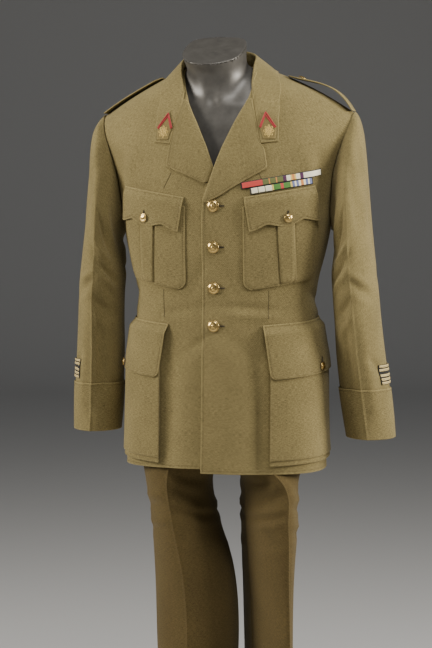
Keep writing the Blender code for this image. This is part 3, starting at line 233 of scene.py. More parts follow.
# Soft folds of the tunic's body, from one point to another: arc and height of each end
# (the wearer's left is positive), half width, and depth (a hollow is negative).
BODY_FOLDS = np.array(
    [
        (0.020, 1.118, 0.120, 1.112, 0.009, -1.6),
        (0.030, 1.104, 0.110, 1.100, 0.008, 1.2),
        (-0.020, 1.118, -0.105, 1.104, 0.009, -1.3),
        (-0.012, 1.062, -0.050, 1.035, 0.008, -1.6),
        (0.030, 1.060, 0.085, 1.020, 0.012, -1.2),
        (0.085, 1.010, 0.090, 0.810, 0.016, -3.2),
        (0.055, 0.980, 0.052, 0.802, 0.020, 1.8),
        (-0.085, 1.010, -0.092, 0.810, 0.014, -3.0),
        (-0.050, 1.000, -0.056, 0.802, 0.018, 1.5),
        (0.205, 1.385, 0.222, 1.285, 0.016, -3.2),
        (0.165, 1.420, 0.205, 1.340, 0.020, 1.4),
        (-0.205, 1.385, -0.222, 1.285, 0.016, -3.2),
        (-0.165, 1.420, -0.205, 1.340, 0.020, 1.4),
        (0.020, 1.200, 0.046, 1.125, 0.010, -1.2),
        (-0.020, 1.200, -0.046, 1.140, 0.010, -1.0),
        (0.190, 1.145, 0.270, 1.120, 0.010, -1.8),
        (-0.190, 1.145, -0.270, 1.120, 0.010, -1.8),
        (0.200, 1.110, 0.290, 1.098, 0.009, 1.2),
        (-0.200, 1.110, -0.290, 1.098, 0.009, 1.2),
        (0.340, 1.150, 0.520, 1.125, 0.012, -2.4),
        (-0.340, 1.150, -0.520, 1.125, 0.012, -2.4),
        (0.360, 1.115, 0.540, 1.105, 0.010, 1.8),
        (-0.360, 1.115, -0.540, 1.105, 0.010, 1.8),
        (0.430, 1.400, 0.400, 1.260, 0.022, -3.0),
        (-0.430, 1.400, -0.400, 1.260, 0.022, -3.0),
        (0.470, 1.050, 0.480, 0.810, 0.026, 3.0),
        (-0.470, 1.050, -0.480, 0.810, 0.026, 3.0),
        (0.375, 1.030, 0.365, 0.810, 0.022, -3.0),
        (-0.375, 1.030, -0.365, 0.810, 0.022, -3.0),
        (0.505, 1.470, 0.545, 1.430, 0.018, -1.6),
        (-0.505, 1.470, -0.545, 1.430, 0.018, -1.6),
    ]
)


def fold_height(folds, across, up):
    """How far the cloth stands out or in at a point, from a table of folds."""
    total = np.zeros(np.broadcast(across, up).shape)
    for x0, z0, x1, z1, width, high in folds:
        along, rise = x1 - x0, z1 - z0
        length = math.hypot(along, rise)
        share = ((across - x0) * along + (up - z0) * rise) / length**2
        beside = ((across - x0) * rise - (up - z0) * along) / length
        past = np.maximum(np.maximum(-share, share - 1), 0) * length
        fade = 1.7 - 0.75 * np.abs(np.clip(share, 0, 1) * 2 - 1) ** 2
        total = total + high * MM * fade * np.exp(-((beside / width) ** 2) - (past / (1.6 * width)) ** 2)
    return total


def front_lift(side, arc, z):
    """The left front lies on the right one, so it is lifted over the overlap."""
    if side < 0:
        return np.zeros(np.broadcast(arc, z).shape)
    return 2.6 * MM * (1 - ease(arc, 0.030, 0.068)) * (1 - ease(z, 1.385, 1.43))


def on_body(side, arc, angle, level, out):
    points = tunic_point(angle, level)
    out = np.asarray(out, float) + fold_height(BODY_FOLDS, side * arc, points[..., 2])
    return points + tunic_normal(angle, level) * out[..., None]


def on_front(side, arc, z, out):
    """A point on a front, at a distance across from centre, moved out."""
    angle, level = find_on_tunic(side * np.asarray(arc, float), z)
    return on_body(side, np.asarray(arc, float), angle, level, out + front_lift(side, arc, z))


def edge_steps(length, step, stitched=(True, True)):
    """Places along a cloth's length, close together at its two edges and by its stitches."""
    near = {True: (0, 0.3, 1.0, 2.4, 4.0, 4.7, 5.2, 5.7, 6.4), False: (0, 0.3, 1.0, 2.4)}
    low, high = (np.array(near[s]) * MM for s in stitched)
    inner = max(2, int(round((length - low[-1] - high[-1]) / step)))
    middle = np.linspace(low[-1], length - high[-1], inner + 1)[1:-1]
    return np.concatenate([low, middle, length - high[::-1]])


def cloth(name, place, across, down, finish, thick=CLOTH, stitched="", seam_in=5.2, tube=False, lined=None):
    """A closed sheet of cloth with soft rounded edges and pressed-in stitch lines.

    place(across, down, out) gives points, with out counted from the outer face. The stitched
    sides are named by letter: l and r for the first and last column, t and b for rows.
    """
    a, d = np.meshgrid(across, down)
    middle = place(a, d, np.zeros(a.shape))
    rows, cols = a.shape
    run_across = np.linalg.norm(np.diff(middle, axis=1), axis=2)
    run_down = np.linalg.norm(np.diff(middle, axis=0), axis=2)
    u = np.concatenate([np.zeros((rows, 1)), run_across.cumsum(1)], 1)
    v = np.concatenate([np.zeros((1, cols)), run_down.cumsum(0)], 0)
    borders = {"l": u, "r": u[:, -1:] - u, "t": v, "b": v[-1:] - v}
    if tube:
        borders.pop("l")
        borders.pop("r")
    inside = np.minimum.reduce(list(borders.values()))
    swell = np.sqrt(1 - (1 - np.clip(inside / (0.9 * MM), 0, 1)) ** 2)
    line = np.zeros(a.shape)
    for side in stitched:
        line = np.maximum(line, np.exp(-(((borders[side] - seam_in * MM) / (0.55 * MM)) ** 2)))
    line = line * (inside > (seam_in - 1.5) * MM)
    outer = place(a, d, (swell - 1) * thick / 2 - 0.35 * MM * line)
    inner = place(a, d, -thick - (swell - 1) * thick / 2)
    index = np.arange(rows * cols).reshape(rows, cols)
    back = index + rows * cols
    shared = np.zeros(a.shape, bool)
    shared[[0, -1]] = True
    if not tube:
        shared[:, [0, -1]] = True
    back = np.where(shared, index, back)
    order = np.full(2 * rows * cols, -1)
    kept = np.unique(np.concatenate([index.ravel(), back.ravel()]))
    order[kept] = np.arange(len(kept))
    points = np.concatenate([outer.reshape(-1, 3), inner.reshape(-1, 3)])[kept]
    index, back = order[index], order[back]
    if tube:
        index, back = np.c_[index, index[:, :1]], np.c_[back, back[:, :1]]
    quads = np.stack([index[:-1, :-1], index[:-1, 1:], index[1:, 1:], index[1:, :-1]], -1).reshape(-1, 4)
    lining = np.stack([back[:-1, :-1], back[1:, :-1], back[1:, 1:], back[:-1, 1:]], -1).reshape(-1, 4)
    faces = np.concatenate([quads, lining])
    p0, p1, p2 = (points[faces[:, k]] for k in range(3))
    if (p0 * np.cross(p1, p2)).sum() < 0:
        faces = faces[:, ::-1]
    made = add_piece(name, points, faces, finish)
    if lined:
        # The lining starts inside the facing, which is turned back from the cloth's edge.
        deep = (inside[:-1, :-1] > lined[1]) & (inside[1:, 1:] > lined[1])
        made.data.materials.append(lined[0])
        made.data.polygons.foreach_set("material_index", np.concatenate([np.zeros(len(quads), int),
            deep.ravel().astype(int)]))
    # The weave is laid in metres across and down the cut piece.
    weave = made.data.uv_layers.new(name="weave")
    if tube:
        closing = np.linalg.norm(middle[:, 0] - middle[:, -1], axis=1)
        u = np.c_[u, u[:, -1] + closing]
        v = np.c_[v, v[:, :1]]
    flat = np.stack([u, v], -1)
    corners = np.stack([flat[:-1, :-1], flat[:-1, 1:], flat[1:, 1:], flat[1:, :-1]], 2).reshape(-1, 4, 2)
    under = np.stack([flat[:-1, :-1], flat[1:, :-1], flat[1:, 1:], flat[:-1, 1:]], 2).reshape(-1, 4, 2)
    corners = np.concatenate([corners, under])
    if (p0 * np.cross(p1, p2)).sum() < 0:
        corners = corners[:, ::-1]
    weave.data.foreach_set("uv", corners.reshape(-1))
    wear = np.exp(-((inside / (1.3 * MM)) ** 2))
    wear = np.concatenate([wear.ravel(), wear.ravel()])[kept]
    # Painted shade: the weave is darkened along the stitch lines, as if shadowed in their pressed grooves.
    stitch_shade = np.concatenate([line.ravel(), np.zeros(line.size)])[kept]
    for label, values in (("edge", wear), ("stitch_shade", stitch_shade)):
        made.data.attributes.new(label, "FLOAT", "POINT").data.foreach_set("value", values)
    return made


def cloth_place(made, nodes):
    """Fixes a sheet of cloth to the body and hides the imported parts that it stands for."""
    mesh = made.data
    uv = np.zeros(2 * len(mesh.loops))
    mesh.uv_layers["weave"].data.foreach_get("uv", uv)
    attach(made, "root")
    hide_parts(*nodes)


STITCH = 2.4 * MM
STITCH_GAP = 1.0 * MM
THREAD_THICK = 0.45 * MM


def sew(name, lines, thread):
    """Rows of single stitches of thread, laid along lines of points on the cloth."""
    points, faces = [], []
    for line in lines:
        line = np.asarray(line, float)
        run = np.concatenate([[0], np.linalg.norm(np.diff(line, axis=0), axis=1).cumsum()])
        starts = np.arange(1.5 * MM, run[-1] - STITCH, STITCH + STITCH_GAP)
        for start in starts:
            ends = [np.array([np.interp(start + s, run, line[:, k]) for k in range(3)]) for s in (0, STITCH)]
            along = ends[1] - ends[0]
            along /= np.linalg.norm(along) + 1e-9
            side = np.cross(along, (0.31, 0.52, 0.79))
            side /= np.linalg.norm(side)
            over = np.cross(along, side)
            base = len(points)
            points.append(ends[0])
            for share in (0.22, 0.78):
                centre = ends[0] + (ends[1] - ends[0]) * share
                for turn in range(5):
                    angle = turn * 2 * math.pi / 5
                    points.append(centre + (side * math.cos(angle) + over * math.sin(angle)) * THREAD_THICK / 2)
            points.append(ends[1])
            for k in range(5):
                n = (k + 1) % 5
                faces.append((base, base + 1 + n, base + 1 + k))
                faces.append((base + 1 + k, base + 1 + n, base + 6 + n))
                faces.append((base + 1 + k, base + 6 + n, base + 6 + k))
                faces.append((base + 11, base + 6 + k, base + 6 + n))
    made = add_piece(name, points, faces, thread)
    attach(made, "root")
    return made


def link(tree, out, into):
    tree.links.new(out, into)


def sum_node(tree, operation, first, second=None):
    """A Math node; each input is a socket or a number."""
    made = tree.nodes.new("ShaderNodeMath")
    made.operation = operation
    for socket, value in zip(made.inputs, (first, second)):
        if isinstance(value, bpy.types.NodeSocket):
            link(tree, value, socket)
        elif value is not None:
            socket.default_value = value
    return made.outputs[0]


def grain_node(tree, place, scale, detail=2.0, roughness=0.5):
    made = tree.nodes.new("ShaderNodeTexNoise")
    made.inputs["Scale"].default_value = scale
    made.inputs["Detail"].default_value = detail
    made.inputs["Roughness"].default_value = roughness
    link(tree, place, made.inputs["Vector"])
    return made.outputs[0]


def blend_node(tree, share, first, second):
    made = tree.nodes.new("ShaderNodeMix")
    made.data_type = "RGBA"
    for name, value in (("Factor", share), ("A", first), ("B", second)):
        socket = next(s for s in made.inputs if s.name == name and s.type == ("VALUE" if name == "Factor" else "RGBA"))
        if isinstance(value, bpy.types.NodeSocket):
            link(tree, value, socket)
        else:
            socket.default_value = value
    return next(s for s in made.outputs if s.type == "RGBA")


def make_twill_weave():
    """Diagonal ribs of twisted yarn, broken up by the yarn's own unevenness and wear, with painted shade in the ribs'
    hollows and along the stitch lines.
    """
    group = bpy.data.node_groups.new("twill_weave", "ShaderNodeTree")
    sockets = (
        ("Place", "INPUT", "NodeSocketVector"), ("Ribs", "INPUT", "NodeSocketFloat"),
        ("Light", "INPUT", "NodeSocketColor"), ("Dark", "INPUT", "NodeSocketColor"),
        ("Edge", "INPUT", "NodeSocketFloat"), ("Stitch Shade", "INPUT", "NodeSocketFloat"),
        ("Color", "OUTPUT", "NodeSocketColor"), ("Roughness", "OUTPUT", "NodeSocketFloat"),
        ("Height", "OUTPUT", "NodeSocketFloat"),
    )
    for label, way, kind in sockets:
        group.interface.new_socket(label, in_out=way, socket_type=kind)
    given = group.nodes.new("NodeGroupInput").outputs
    result = group.nodes.new("NodeGroupOutput").inputs
    parts = group.nodes.new("ShaderNodeSeparateXYZ")
    link(group, given["Place"], parts.inputs[0])
    slub = grain_node(group, given["Place"], 420, 2)
    # Uneven yarns run both ways: long across and short down, then the other way round.
    yarns = []
    for stretch in ((150, 1050, 1), (1050, 230, 1)):
        scaled = group.nodes.new("ShaderNodeVectorMath")
        scaled.operation = "MULTIPLY"
        scaled.inputs[1].default_value = stretch
        link(group, given["Place"], scaled.inputs[0])
        yarns.append(grain_node(group, scaled.outputs[0], 1.0, 2, 0.6))
    speckle = grain_node(group, given["Place"], 560, 2, 0.6)
    mottle = sum_node(group, "ADD", sum_node(group, "MULTIPLY", yarns[0], 0.54),
        sum_node(group, "MULTIPLY", yarns[1], 0.36))
    mottle = sum_node(group, "ADD", mottle, sum_node(group, "MULTIPLY", speckle, 0.10))
    drift = grain_node(group, given["Place"], 14, 2)
    diagonal = sum_node(group, "ADD", parts.outputs[0], sum_node(group, "MULTIPLY", parts.outputs[1], 0.8))
    phase = sum_node(group, "MULTIPLY", diagonal, given["Ribs"])
    phase = sum_node(group, "ADD", phase, sum_node(group, "MULTIPLY", slub, 5.0))
    rib = sum_node(group, "ADD", sum_node(group, "MULTIPLY", sum_node(group, "SINE", phase), 0.5), 0.5)
    cross = sum_node(group, "SUBTRACT", parts.outputs[0], sum_node(group, "MULTIPLY", parts.outputs[1], 1.6))
    cross = sum_node(group, "SINE", sum_node(group, "MULTIPLY", cross,
        sum_node(group, "MULTIPLY", given["Ribs"], 1.7)))
    height = sum_node(group, "ADD", sum_node(group, "MULTIPLY", rib, 0.75),
        sum_node(group, "MULTIPLY", cross, 0.14))
    height = sum_node(group, "ADD", height, sum_node(group, "MULTIPLY", slub, 0.5))
    # Painted shade: the colour is darker where the ribs' relief is low.
    shade = sum_node(group, "MULTIPLY", sum_node(group, "SUBTRACT", height, 0.62), 0.75)
    shade = sum_node(group, "ADD", shade, sum_node(group, "MULTIPLY", sum_node(group, "SUBTRACT", mottle, 0.5),
        3.4))
    shade = sum_node(group, "ADD", shade, sum_node(group, "MULTIPLY", sum_node(group, "SUBTRACT", drift, 0.5),
        0.45))
    shade = sum_node(group, "ADD", shade, sum_node(group, "MULTIPLY", given["Edge"], 0.45))
    # Painted shade along the pressed stitch lines.
    shade = sum_node(group, "SUBTRACT", shade, sum_node(group, "MULTIPLY", given["Stitch Shade"], 0.40))
    share = sum_node(group, "ADD", shade, 0.5)
    clamp = group.nodes.new("ShaderNodeClamp")
    link(group, share, clamp.inputs[0])
    link(group, blend_node(group, clamp.outputs[0], given["Dark"], given["Light"]), result["Color"])
    link(group, height, result["Height"])
    link(group, sum_node(group, "ADD", sum_node(group, "MULTIPLY", mottle, 0.15), 0.78), result["Roughness"])
    return group


twill_weave = make_twill_weave()


def wool_material(name, light, dark, ribs, depth=0.35 * MM):
    """Woollen cloth: the weave in colour and relief, with a faint sheen of loose fibre."""
    made, shader = plain_material(name, light, 0.85)
    tree = made.node_tree
    weave = tree.nodes.new("ShaderNodeGroup")
    weave.node_tree = twill_weave
    where = tree.nodes.new("ShaderNodeUVMap")
    where.uv_map = "weave"
    link(tree, where.outputs[0], weave.inputs["Place"])
    weave.inputs["Ribs"].default_value = ribs
    weave.inputs["Light"].default_value = (*light, 1)
    weave.inputs["Dark"].default_value = (*dark, 1)
    for label, socket in (("edge", "Edge"), ("stitch_shade", "Stitch Shade")):
        read = tree.nodes.new("ShaderNodeAttribute")
        read.attribute_name = label
        link(tree, read.outputs["Fac"], weave.inputs[socket])
    relief = tree.nodes.new("ShaderNodeBump")
    relief.inputs["Strength"].default_value = 0.6
    relief.inputs["Distance"].default_value = depth
    link(tree, weave.outputs["Height"], relief.inputs["Height"])
    link(tree, relief.outputs["Normal"], shader.inputs["Normal"])
    link(tree, weave.outputs["Color"], shader.inputs["Base Color"])
    link(tree, weave.outputs["Roughness"], shader.inputs["Roughness"])
    shader.inputs["Specular IOR Level"].default_value = 0.18
    shader.inputs["Sheen Weight"].default_value = 0.12
    shader.inputs["Sheen Roughness"].default_value = 0.5
    shader.inputs["Sheen Tint"].default_value = (0.95, 0.85, 0.6, 1)
    return made


tunic_wool = wool_material("tunic_twill", (0.312, 0.246, 0.101), (0.094, 0.071, 0.025), 2 * math.pi / (2.6 * MM))
khaki_thread, _ = plain_material("khaki_thread", (0.27, 0.20, 0.080), 0.6)
lining_silk, lining_shader = plain_material("lining_silk", (0.020, 0.017, 0.013), 0.45)
lining_shader.inputs["Sheen Weight"].default_value = 0.2

ARMHOLE_HEIGHTS = (1.262, 1.285, 1.344, 1.420, 1.479, 1.534, 1.575, 1.590)
ARMHOLE_FRONT = (1.640, 1.500, 1.400, 1.300, 1.215, 1.130, 1.110, 1.104)
ARMHOLE_BACK = (1.660, 1.760, 1.850, 1.910, 1.960, 2.010, 2.030, 2.037)
SIDE_SEAM = 2.25
SEAM = 0.3 * MM
SEAM_LEVEL = RIDGE - 0.0045
ROLL_HEIGHTS = (1.290, 1.318, 1.385, 1.420, 1.465, 1.500, 1.530, 1.575)
ROLL_ACROSS = (-0.0235, -0.0215, 0.0020, 0.0150, 0.0360, 0.0545, 0.0680, 0.0795)


def panel_end(level, armhole):
    """The angle where a front or a back ends: the side seam, then the armhole."""
    height = table_curve(range(RIDGE + 1), TUNIC[:, 0], level)
    start = 0.5 * (ARMHOLE_FRONT[0] + ARMHOLE_BACK[0])
    seam = SIDE_SEAM + (start - SIDE_SEAM) * ease(height, 1.11, ARMHOLE_HEIGHTS[0])
    return np.where(height > ARMHOLE_HEIGHTS[0], table_curve(ARMHOLE_HEIGHTS, armhole, height), seam)


def arc_of(angle, level):
    """Distance round to an angle, for one angle at each level."""
    row = np.clip(level * 10, 0, len(arc_levels) - 1.001)
    low = row.astype(int)
    ends = [np.array([np.interp(a, turn_samples, ring_arcs[r]) for a, r in zip(angle, rows)]) for rows in (low,
        low + 1)]
    return ends[0] + (ends[1] - ends[0]) * (row - low)


def front_edges(levels):
    """Distance across to a front's edge or roll line, at each level."""
    across = np.zeros(len(levels))
    for _ in range(12):
        z = tunic_point(angle_at(across, levels), levels)[:, 2]
        across = np.interp(z, ROLL_HEIGHTS, ROLL_ACROSS)
    return across


# The hem of the wearer's right front hangs a little higher at its edge.
HEM_RISE = {"left": 0.0, "right": 0.0085}
front_levels = np.concatenate(
    [SEAM_LEVEL - np.array([0, 0.02, 0.07]), np.linspace(SEAM_LEVEL - 0.16, 0.26, 150),
        [0.19, 0.15, 0.12, 0.10, 0.085, 0.065, 0.04, 0.018, 0.006, 0]]
)
front_starts = front_edges(front_levels)
front_ends = arc_of(panel_end(front_levels, ARMHOLE_FRONT), front_levels) - SEAM
front_shares = edge_steps(0.330, 5.5 * MM, (True, False)) / 0.330
front_stitches = []
for side_name, side in SIDES.items():

    def place_front(share, level, out, side=side, side_name=side_name):
        arc = np.interp(-level, -front_levels, front_starts)
        arc = arc + (np.interp(-level, -front_levels, front_ends) - arc) * share
        rise = HEM_RISE[side_name] * (1 - ease(level, 0, 1.5)) * (1 - 0.7 * ease(arc, 0.0, 0.28))
        lifted = level + rise / 0.058
        angle = side * angle_at(arc, lifted)
        z = tunic_point(angle, lifted)[..., 2]
        hem_wave = 1.3 * MM * np.sin(arc / 0.026 + side) * (1 - ease(level, 0, 2.2))
        return on_body(side, arc, angle, lifted, out + hem_wave + front_lift(side, arc, z))

    piece = cloth(f"front_{side_name}_cloth", place_front, front_shares, front_levels, tunic_wool, stitched="lb",
        lined=(lining_silk, 0.045))
    cloth_place(piece, [f"front_{side_name}"])
    edge_levels = np.linspace(0.10, 10.1 if side > 0 else 9.2, 260)
    line = place_front(np.full(260, 5.2 * MM / 0.330), edge_levels, np.full(260, -0.15 * MM))
    front_stitches.append(line)
sew("front_edge_stitching", front_stitches, khaki_thread)

# The tunic's back: two halves of the same wool, joined on a centre-back seam and to the
# fronts at the side and shoulder seams, with the neck scooped out for the collar.
back_levels = np.concatenate(
    [SEAM_LEVEL - np.array([0, 0.02, 0.07]), np.linspace(SEAM_LEVEL - 0.16, 0.26, 120), front_levels[-10:]]
)
side_seam_arcs = np.array(
    [np.interp(a, turn_samples, row) for a, row in zip(panel_end(arc_levels, ARMHOLE_BACK), ring_arcs)]
)
back_shares = edge_steps(0.300, 8 * MM, (False, False)) / 0.300
for side_name, side in SIDES.items():

    def place_back(share, row_level, out, side=side):
        level = row_level
        for _ in range(4):
            half_round = np.interp(level, arc_levels, half_rounds)
            arc = half_round - SEAM / 2 - (half_round - np.interp(level, arc_levels, side_seam_arcs) - SEAM) * share
            top = 15.4 + (RIDGE - 15.4) * ease(half_round - arc, 0.02, 0.0795)
            squeeze = (np.minimum(top, SEAM_LEVEL) - 14) / (SEAM_LEVEL - 14)
            level = np.where(row_level < 14, row_level, 14 + (row_level - 14) * squeeze)
        hem_wave = 1.6 * MM * np.sin(arc / 0.030) * (1 - ease(level, 0, 2.2))
        return on_body(side, arc, side * angle_at(arc, level), level, out + hem_wave)

    piece = cloth(f"back_{side_name}_cloth", place_back, back_shares, back_levels, tunic_wool, stitched="b",
        lined=(lining_silk, 0.030))
    cloth_place(piece, [f"back_{side_name}"])

# The lapels: the fronts' upper edges turned back over the chest, with a soft roll at the
# break, a pressed outer edge sewn 5 mm in, and a straight top seam to the collar.
LAPELS = {
    "left": (
        (1.3205, -0.0150, 1.3150), (1.3450, 0.0100, 1.3265), (1.3700, 0.0380, 1.3440), (1.3950, 0.0680, 1.3615),
        (1.4150, 0.0895, 1.3728), (1.4310, 0.0998, 1.3806), (1.4460, 0.0982, 1.3985), (1.4620, 0.0945, 1.4160),
    ),
    "right": (
        (1.3540, 0.0190, 1.3520), (1.3660, 0.0420, 1.3620), (1.3850, 0.0650, 1.3715), (1.4050, 0.0838, 1.3788),
        (1.4195, 0.0942, 1.3842), (1.4345, 0.0932, 1.3978), (1.4500, 0.0915, 1.4130),
    ),
}
GORGE = ((1.4255, 0.0885), (1.4420, 0.0843), (1.4700, 0.0783), (1.4930, 0.0722), (1.5080, 0.0690))
GORGE_ROLLS = (1.4750, 1.4850, 1.4940, 1.5010, 1.5065)


def place_lapel(share, row, out, side, table):
    roll, edge_across, edge_z = (table_curve(range(len(table)), table[:, k], row) for k in range(3))
    start = np.interp(roll, ROLL_HEIGHTS, ROLL_ACROSS)
    if side < 0:
        start = np.maximum(start, 4 * SEAM - start)
    arc, z = start + (edge_across - start) * share, roll + (edge_z - roll) * share
    wide = np.hypot(edge_across - start, edge_z - roll) * share
    swell = 1.2 * MM * np.sin(np.pi * share) ** 0.7
    swell = swell + 2.4 * MM * (1 - np.exp(-wide / (2.5 * MM))) * np.exp(-wide / 0.020)
    return on_front(side, arc, z, out + 0.4 * MM + CLOTH + swell)


lapel_stitches = []
for side_name, side in SIDES.items():
    rows = list(LAPELS[side_name]) + [(roll, x - 0.6 * MM, z) for roll, (z, x) in zip(GORGE_ROLLS, GORGE)]
    table = np.array(rows)
    place = lambda a, d, out, side=side, table=table: place_lapel(a, d, out, side, table)
    row_steps = edge_steps(0.20, 3 * MM, (False, False)) / 0.20 * (len(table) - 1)
    piece = cloth(f"lapel_{side_name}_cloth", place, edge_steps(0.085, 3 * MM, (False, True)) / 0.085, row_steps,
        tunic_wool, stitched="r", seam_in=5.2)
    cloth_place(piece, [f"lapel_{side_name}"])
    along = np.linspace(0.15, len(table) - 5.1, 160)
    lapel_stitches.append(place(1 - 5.2 / 85 * np.ones(160), along, np.full(160, -0.15 * MM)))
sew("lapel_stitching", lapel_stitches, khaki_thread)

# The collar: one band folded over on itself, stand inside and fall outside, sewn round
# the neck and to the lapels at the gorge. Its ends are square and its edge is stitched.
COLLAR_ROUND = (
    (0.0645, -0.0645, 1.5270, 0.0675, -0.0690, 1.5335, 0.1168, -0.0520, 1.5275),
    (0.0695, -0.0400, 1.5460, 0.0705, -0.0440, 1.5600, 0.1125, -0.0330, 1.5455),
    (0.0725, -0.0150, 1.5640, 0.0725, -0.0150, 1.5810, 0.1075, -0.0120, 1.5600),
    (0.0730, 0.0120, 1.5710, 0.0715, 0.0120, 1.5940, 0.1030, 0.0150, 1.5630),
    (0.0620, 0.0340, 1.5730, 0.0620, 0.0320, 1.6030, 0.0900, 0.0480, 1.5620),
    (0.0350, 0.0510, 1.5730, 0.0350, 0.0480, 1.6100, 0.0530, 0.0760, 1.5630),
    (0.0000, 0.0565, 1.5730, 0.0000, 0.0535, 1.6130, 0.0000, 0.0850, 1.5640),
)
COLLAR_FRONT = ((0.1215, 1.4290), (0.1218, 1.4480), (0.1212, 1.4700), (0.1218, 1.4900), (0.1222, 1.5070))
COLLAR_SHARES = np.array((0, 0.035, 0.07, 0.105, 0.15, 0.36, 0.58, 0.8, 1))
COLLAR_CLEAR = np.array((3.2, 3.2, 2.6, 2.2, 2.2, 2.2, 2.2, 2.2, 2.2)) * MM
FOLD_SHARES = np.array((0, 0.5, 1, 1, 1, 0.7, 0.4, 0.15, 0))
COLLAR_MIDDLE = 1.6 * MM


def find_above(x, y):
    """The angle and level of the shoulder's surface over a point of the plan."""
    levels = np.linspace(10, RIDGE, 600)
    turn = np.arcsin(np.clip(abs(x) / table_curve(range(RIDGE + 1), TUNIC[:, 1], levels), 0, 1) ** (2.35 / 2))
    if y > TUNIC[-1, 4]:
        turn = math.pi - turn
    found = np.abs(tunic_point(math.copysign(1, x) * turn if x else turn, levels)[:, 1] - y).argmin()
    return (math.copysign(turn[found], x) if x else turn[found]), levels[found]


def collar_profile(side, row):
    """Up the stand, over the fold and down the fall, past the gorge."""
    seam, fold, edge = (np.array(row[k : k + 3]) for k in (0, 3, 6))
    outward = (edge - seam) * (1, 1, 0)
    outward /= np.linalg.norm(outward)
    drop = np.array([0, 0, -1.0])
    tall = min(2.5 * MM, 0.45 * np.linalg.norm(fold - seam))
    stand_top = fold + drop * tall - outward * 1.5 * MM
    turn = fold + outward * 3.5 * MM + drop * 2.5 * MM
    points = [seam, (seam + stand_top) / 2, stand_top, fold, turn]
    for share in (0.28, 0.54, 0.78, 1):
        points.append(turn + (edge - turn) * share + outward * 2.5 * MM * math.sin(math.pi * share))
    points = np.array(points)
    for point, clear in zip(points, COLLAR_CLEAR):
        angle, level = find_above(*point[:2])
        surface, normal = bare_point(angle, level), tunic_normal(angle, level)
        point += normal * max(0, clear - (point - surface) @ normal)
    points[:, 0] *= side
    points[:, 0] += neck_lean(np.abs(points[:, 0]), points[:, 2])
    points[:, 0] += -0.005 * FOLD_SHARES * ease(points[:, 2], 1.51, 1.60)
    return points


def sheet_through(knots):
    """A smooth place function through a grid of knots, by column and row number."""
    rows, cols = knots.shape[:2]

    def surface(a, d):
        return np.stack(
            [
                np.array([table_curve(range(cols), line, a) for line in
                          np.array([table_curve(range(rows), knots[:, c, k], d) for c in range(cols)]).T])
                for k in range(3)
            ],
            -1,
        )

    def place(a, d, out):
        single = a.ndim == 1
        across, down = (a, d[:1]) if single and np.ptp(d) == 0 else (a[:1], d) if single else (a[0], d[:, 0])
        small = 0.02
        here = surface(across, down)
        aside = surface(np.minimum(across + small, cols - 1), down) - surface(np.maximum(across - small, 0), down)
        along = surface(across, np.minimum(down + small, rows - 1)) - surface(across, np.maximum(down - small, 0))
        normal = np.cross(aside, along)
        normal /= np.linalg.norm(normal, axis=-1, keepdims=True) + 1e-12
        return (here + normal * out.reshape(here.shape[:2] + (1,))).reshape(a.shape + (3,))

    return place


collar_halves = []
for side in (-1, 1):
    rows = []
    for (gorge_z, gorge_x), (edge_x, edge_z) in zip(GORGE, COLLAR_FRONT):
        arcs = gorge_x + (edge_x - gorge_x) * COLLAR_SHARES
        rows.append(on_front(side, arcs, gorge_z + (edge_z - gorge_z) * COLLAR_SHARES, np.full(9, COLLAR_MIDDLE)))
    rows += [collar_profile(side, row) for row in COLLAR_ROUND]
    collar_halves.append(np.array(rows))
collar_knots = np.concatenate([collar_halves[0], collar_halves[1][-2::-1]])
collar_surface = sheet_through(collar_knots)


def place_collar(a, d, out):
    return collar_surface(a, d, out + CLOTH / 2)


collar_rows = edge_steps(0.62, 4 * MM, (True, True)) / 0.62 * (len(collar_knots) - 1)
collar_cols = np.concatenate([np.linspace(0, 4, 22), np.linspace(4, 8, 26)[1:-1],
    8 - np.array([1.2, 0.55, 0.42, 0.3, 0.1, 0.03, 0]) * 0.2])
collar_cols = np.unique(np.concatenate([np.array([0, 0.02, 0.06]), collar_cols,
    8 - edge_steps(0.05, 1, (True, False))[:9] / 0.0125]))
collar = cloth("collar_cloth", place_collar, collar_cols, collar_rows, tunic_wool, stitched="rtb", seam_in=5.2)
cloth_place(collar, ["collar"])

# The sleeves: two tubes eased into the armholes, with a pressed crease down the front and
# the back, a little spare cloth at the elbow, and a lifted roll where the head is sewn in.
SLEEVE = np.array(
    [
        (0.2480, 1.4865, 0.2060, 1.2630, 0.012, 0.074, 0.00, 0.0),
        (0.2590, 1.4800, 0.2090, 1.2600, 0.008, 0.078, 0.45, 0.0),
        (0.2660, 1.4500, 0.2115, 1.2540, 0.004, 0.080, 0.85, 0.1),
        (0.2705, 1.4000, 0.2125, 1.2430, 0.001, 0.080, 1.00, 0.2),
        (0.2755, 1.3400, 0.2125, 1.2280, 0.000, 0.079, 1.00, 0.3),
        (0.2810, 1.2780, 0.2095, 1.2080, -0.002, 0.077, 1.00, 0.5),
        (0.2885, 1.2100, 0.2060, 1.1780, -0.006, 0.073, 1.00, 0.6),
        (0.2945, 1.1500, 0.2080, 1.1350, -0.009, 0.069, 1.00, 0.7),
        (0.2990, 1.0900, 0.2100, 1.0850, -0.004, 0.065, 1.00, 0.8),
        (0.3045, 1.0300, 0.2110, 1.0300, 0.003, 0.061, 1.00, 0.8),
        (0.3090, 0.9850, 0.2135, 0.9850, 0.008, 0.058, 1.00, 0.8),
        (0.3125, 0.9450, 0.2165, 0.9450, 0.013, 0.055, 1.00, 0.8),
        (0.3150, 0.9050, 0.2205, 0.9050, 0.018, 0.053, 1.00, 0.8),
        (0.3165, 0.8620, 0.2260, 0.8620, 0.022, 0.052, 1.00, 0.8),
    ]
)
LAST_RING = len(SLEEVE) - 1
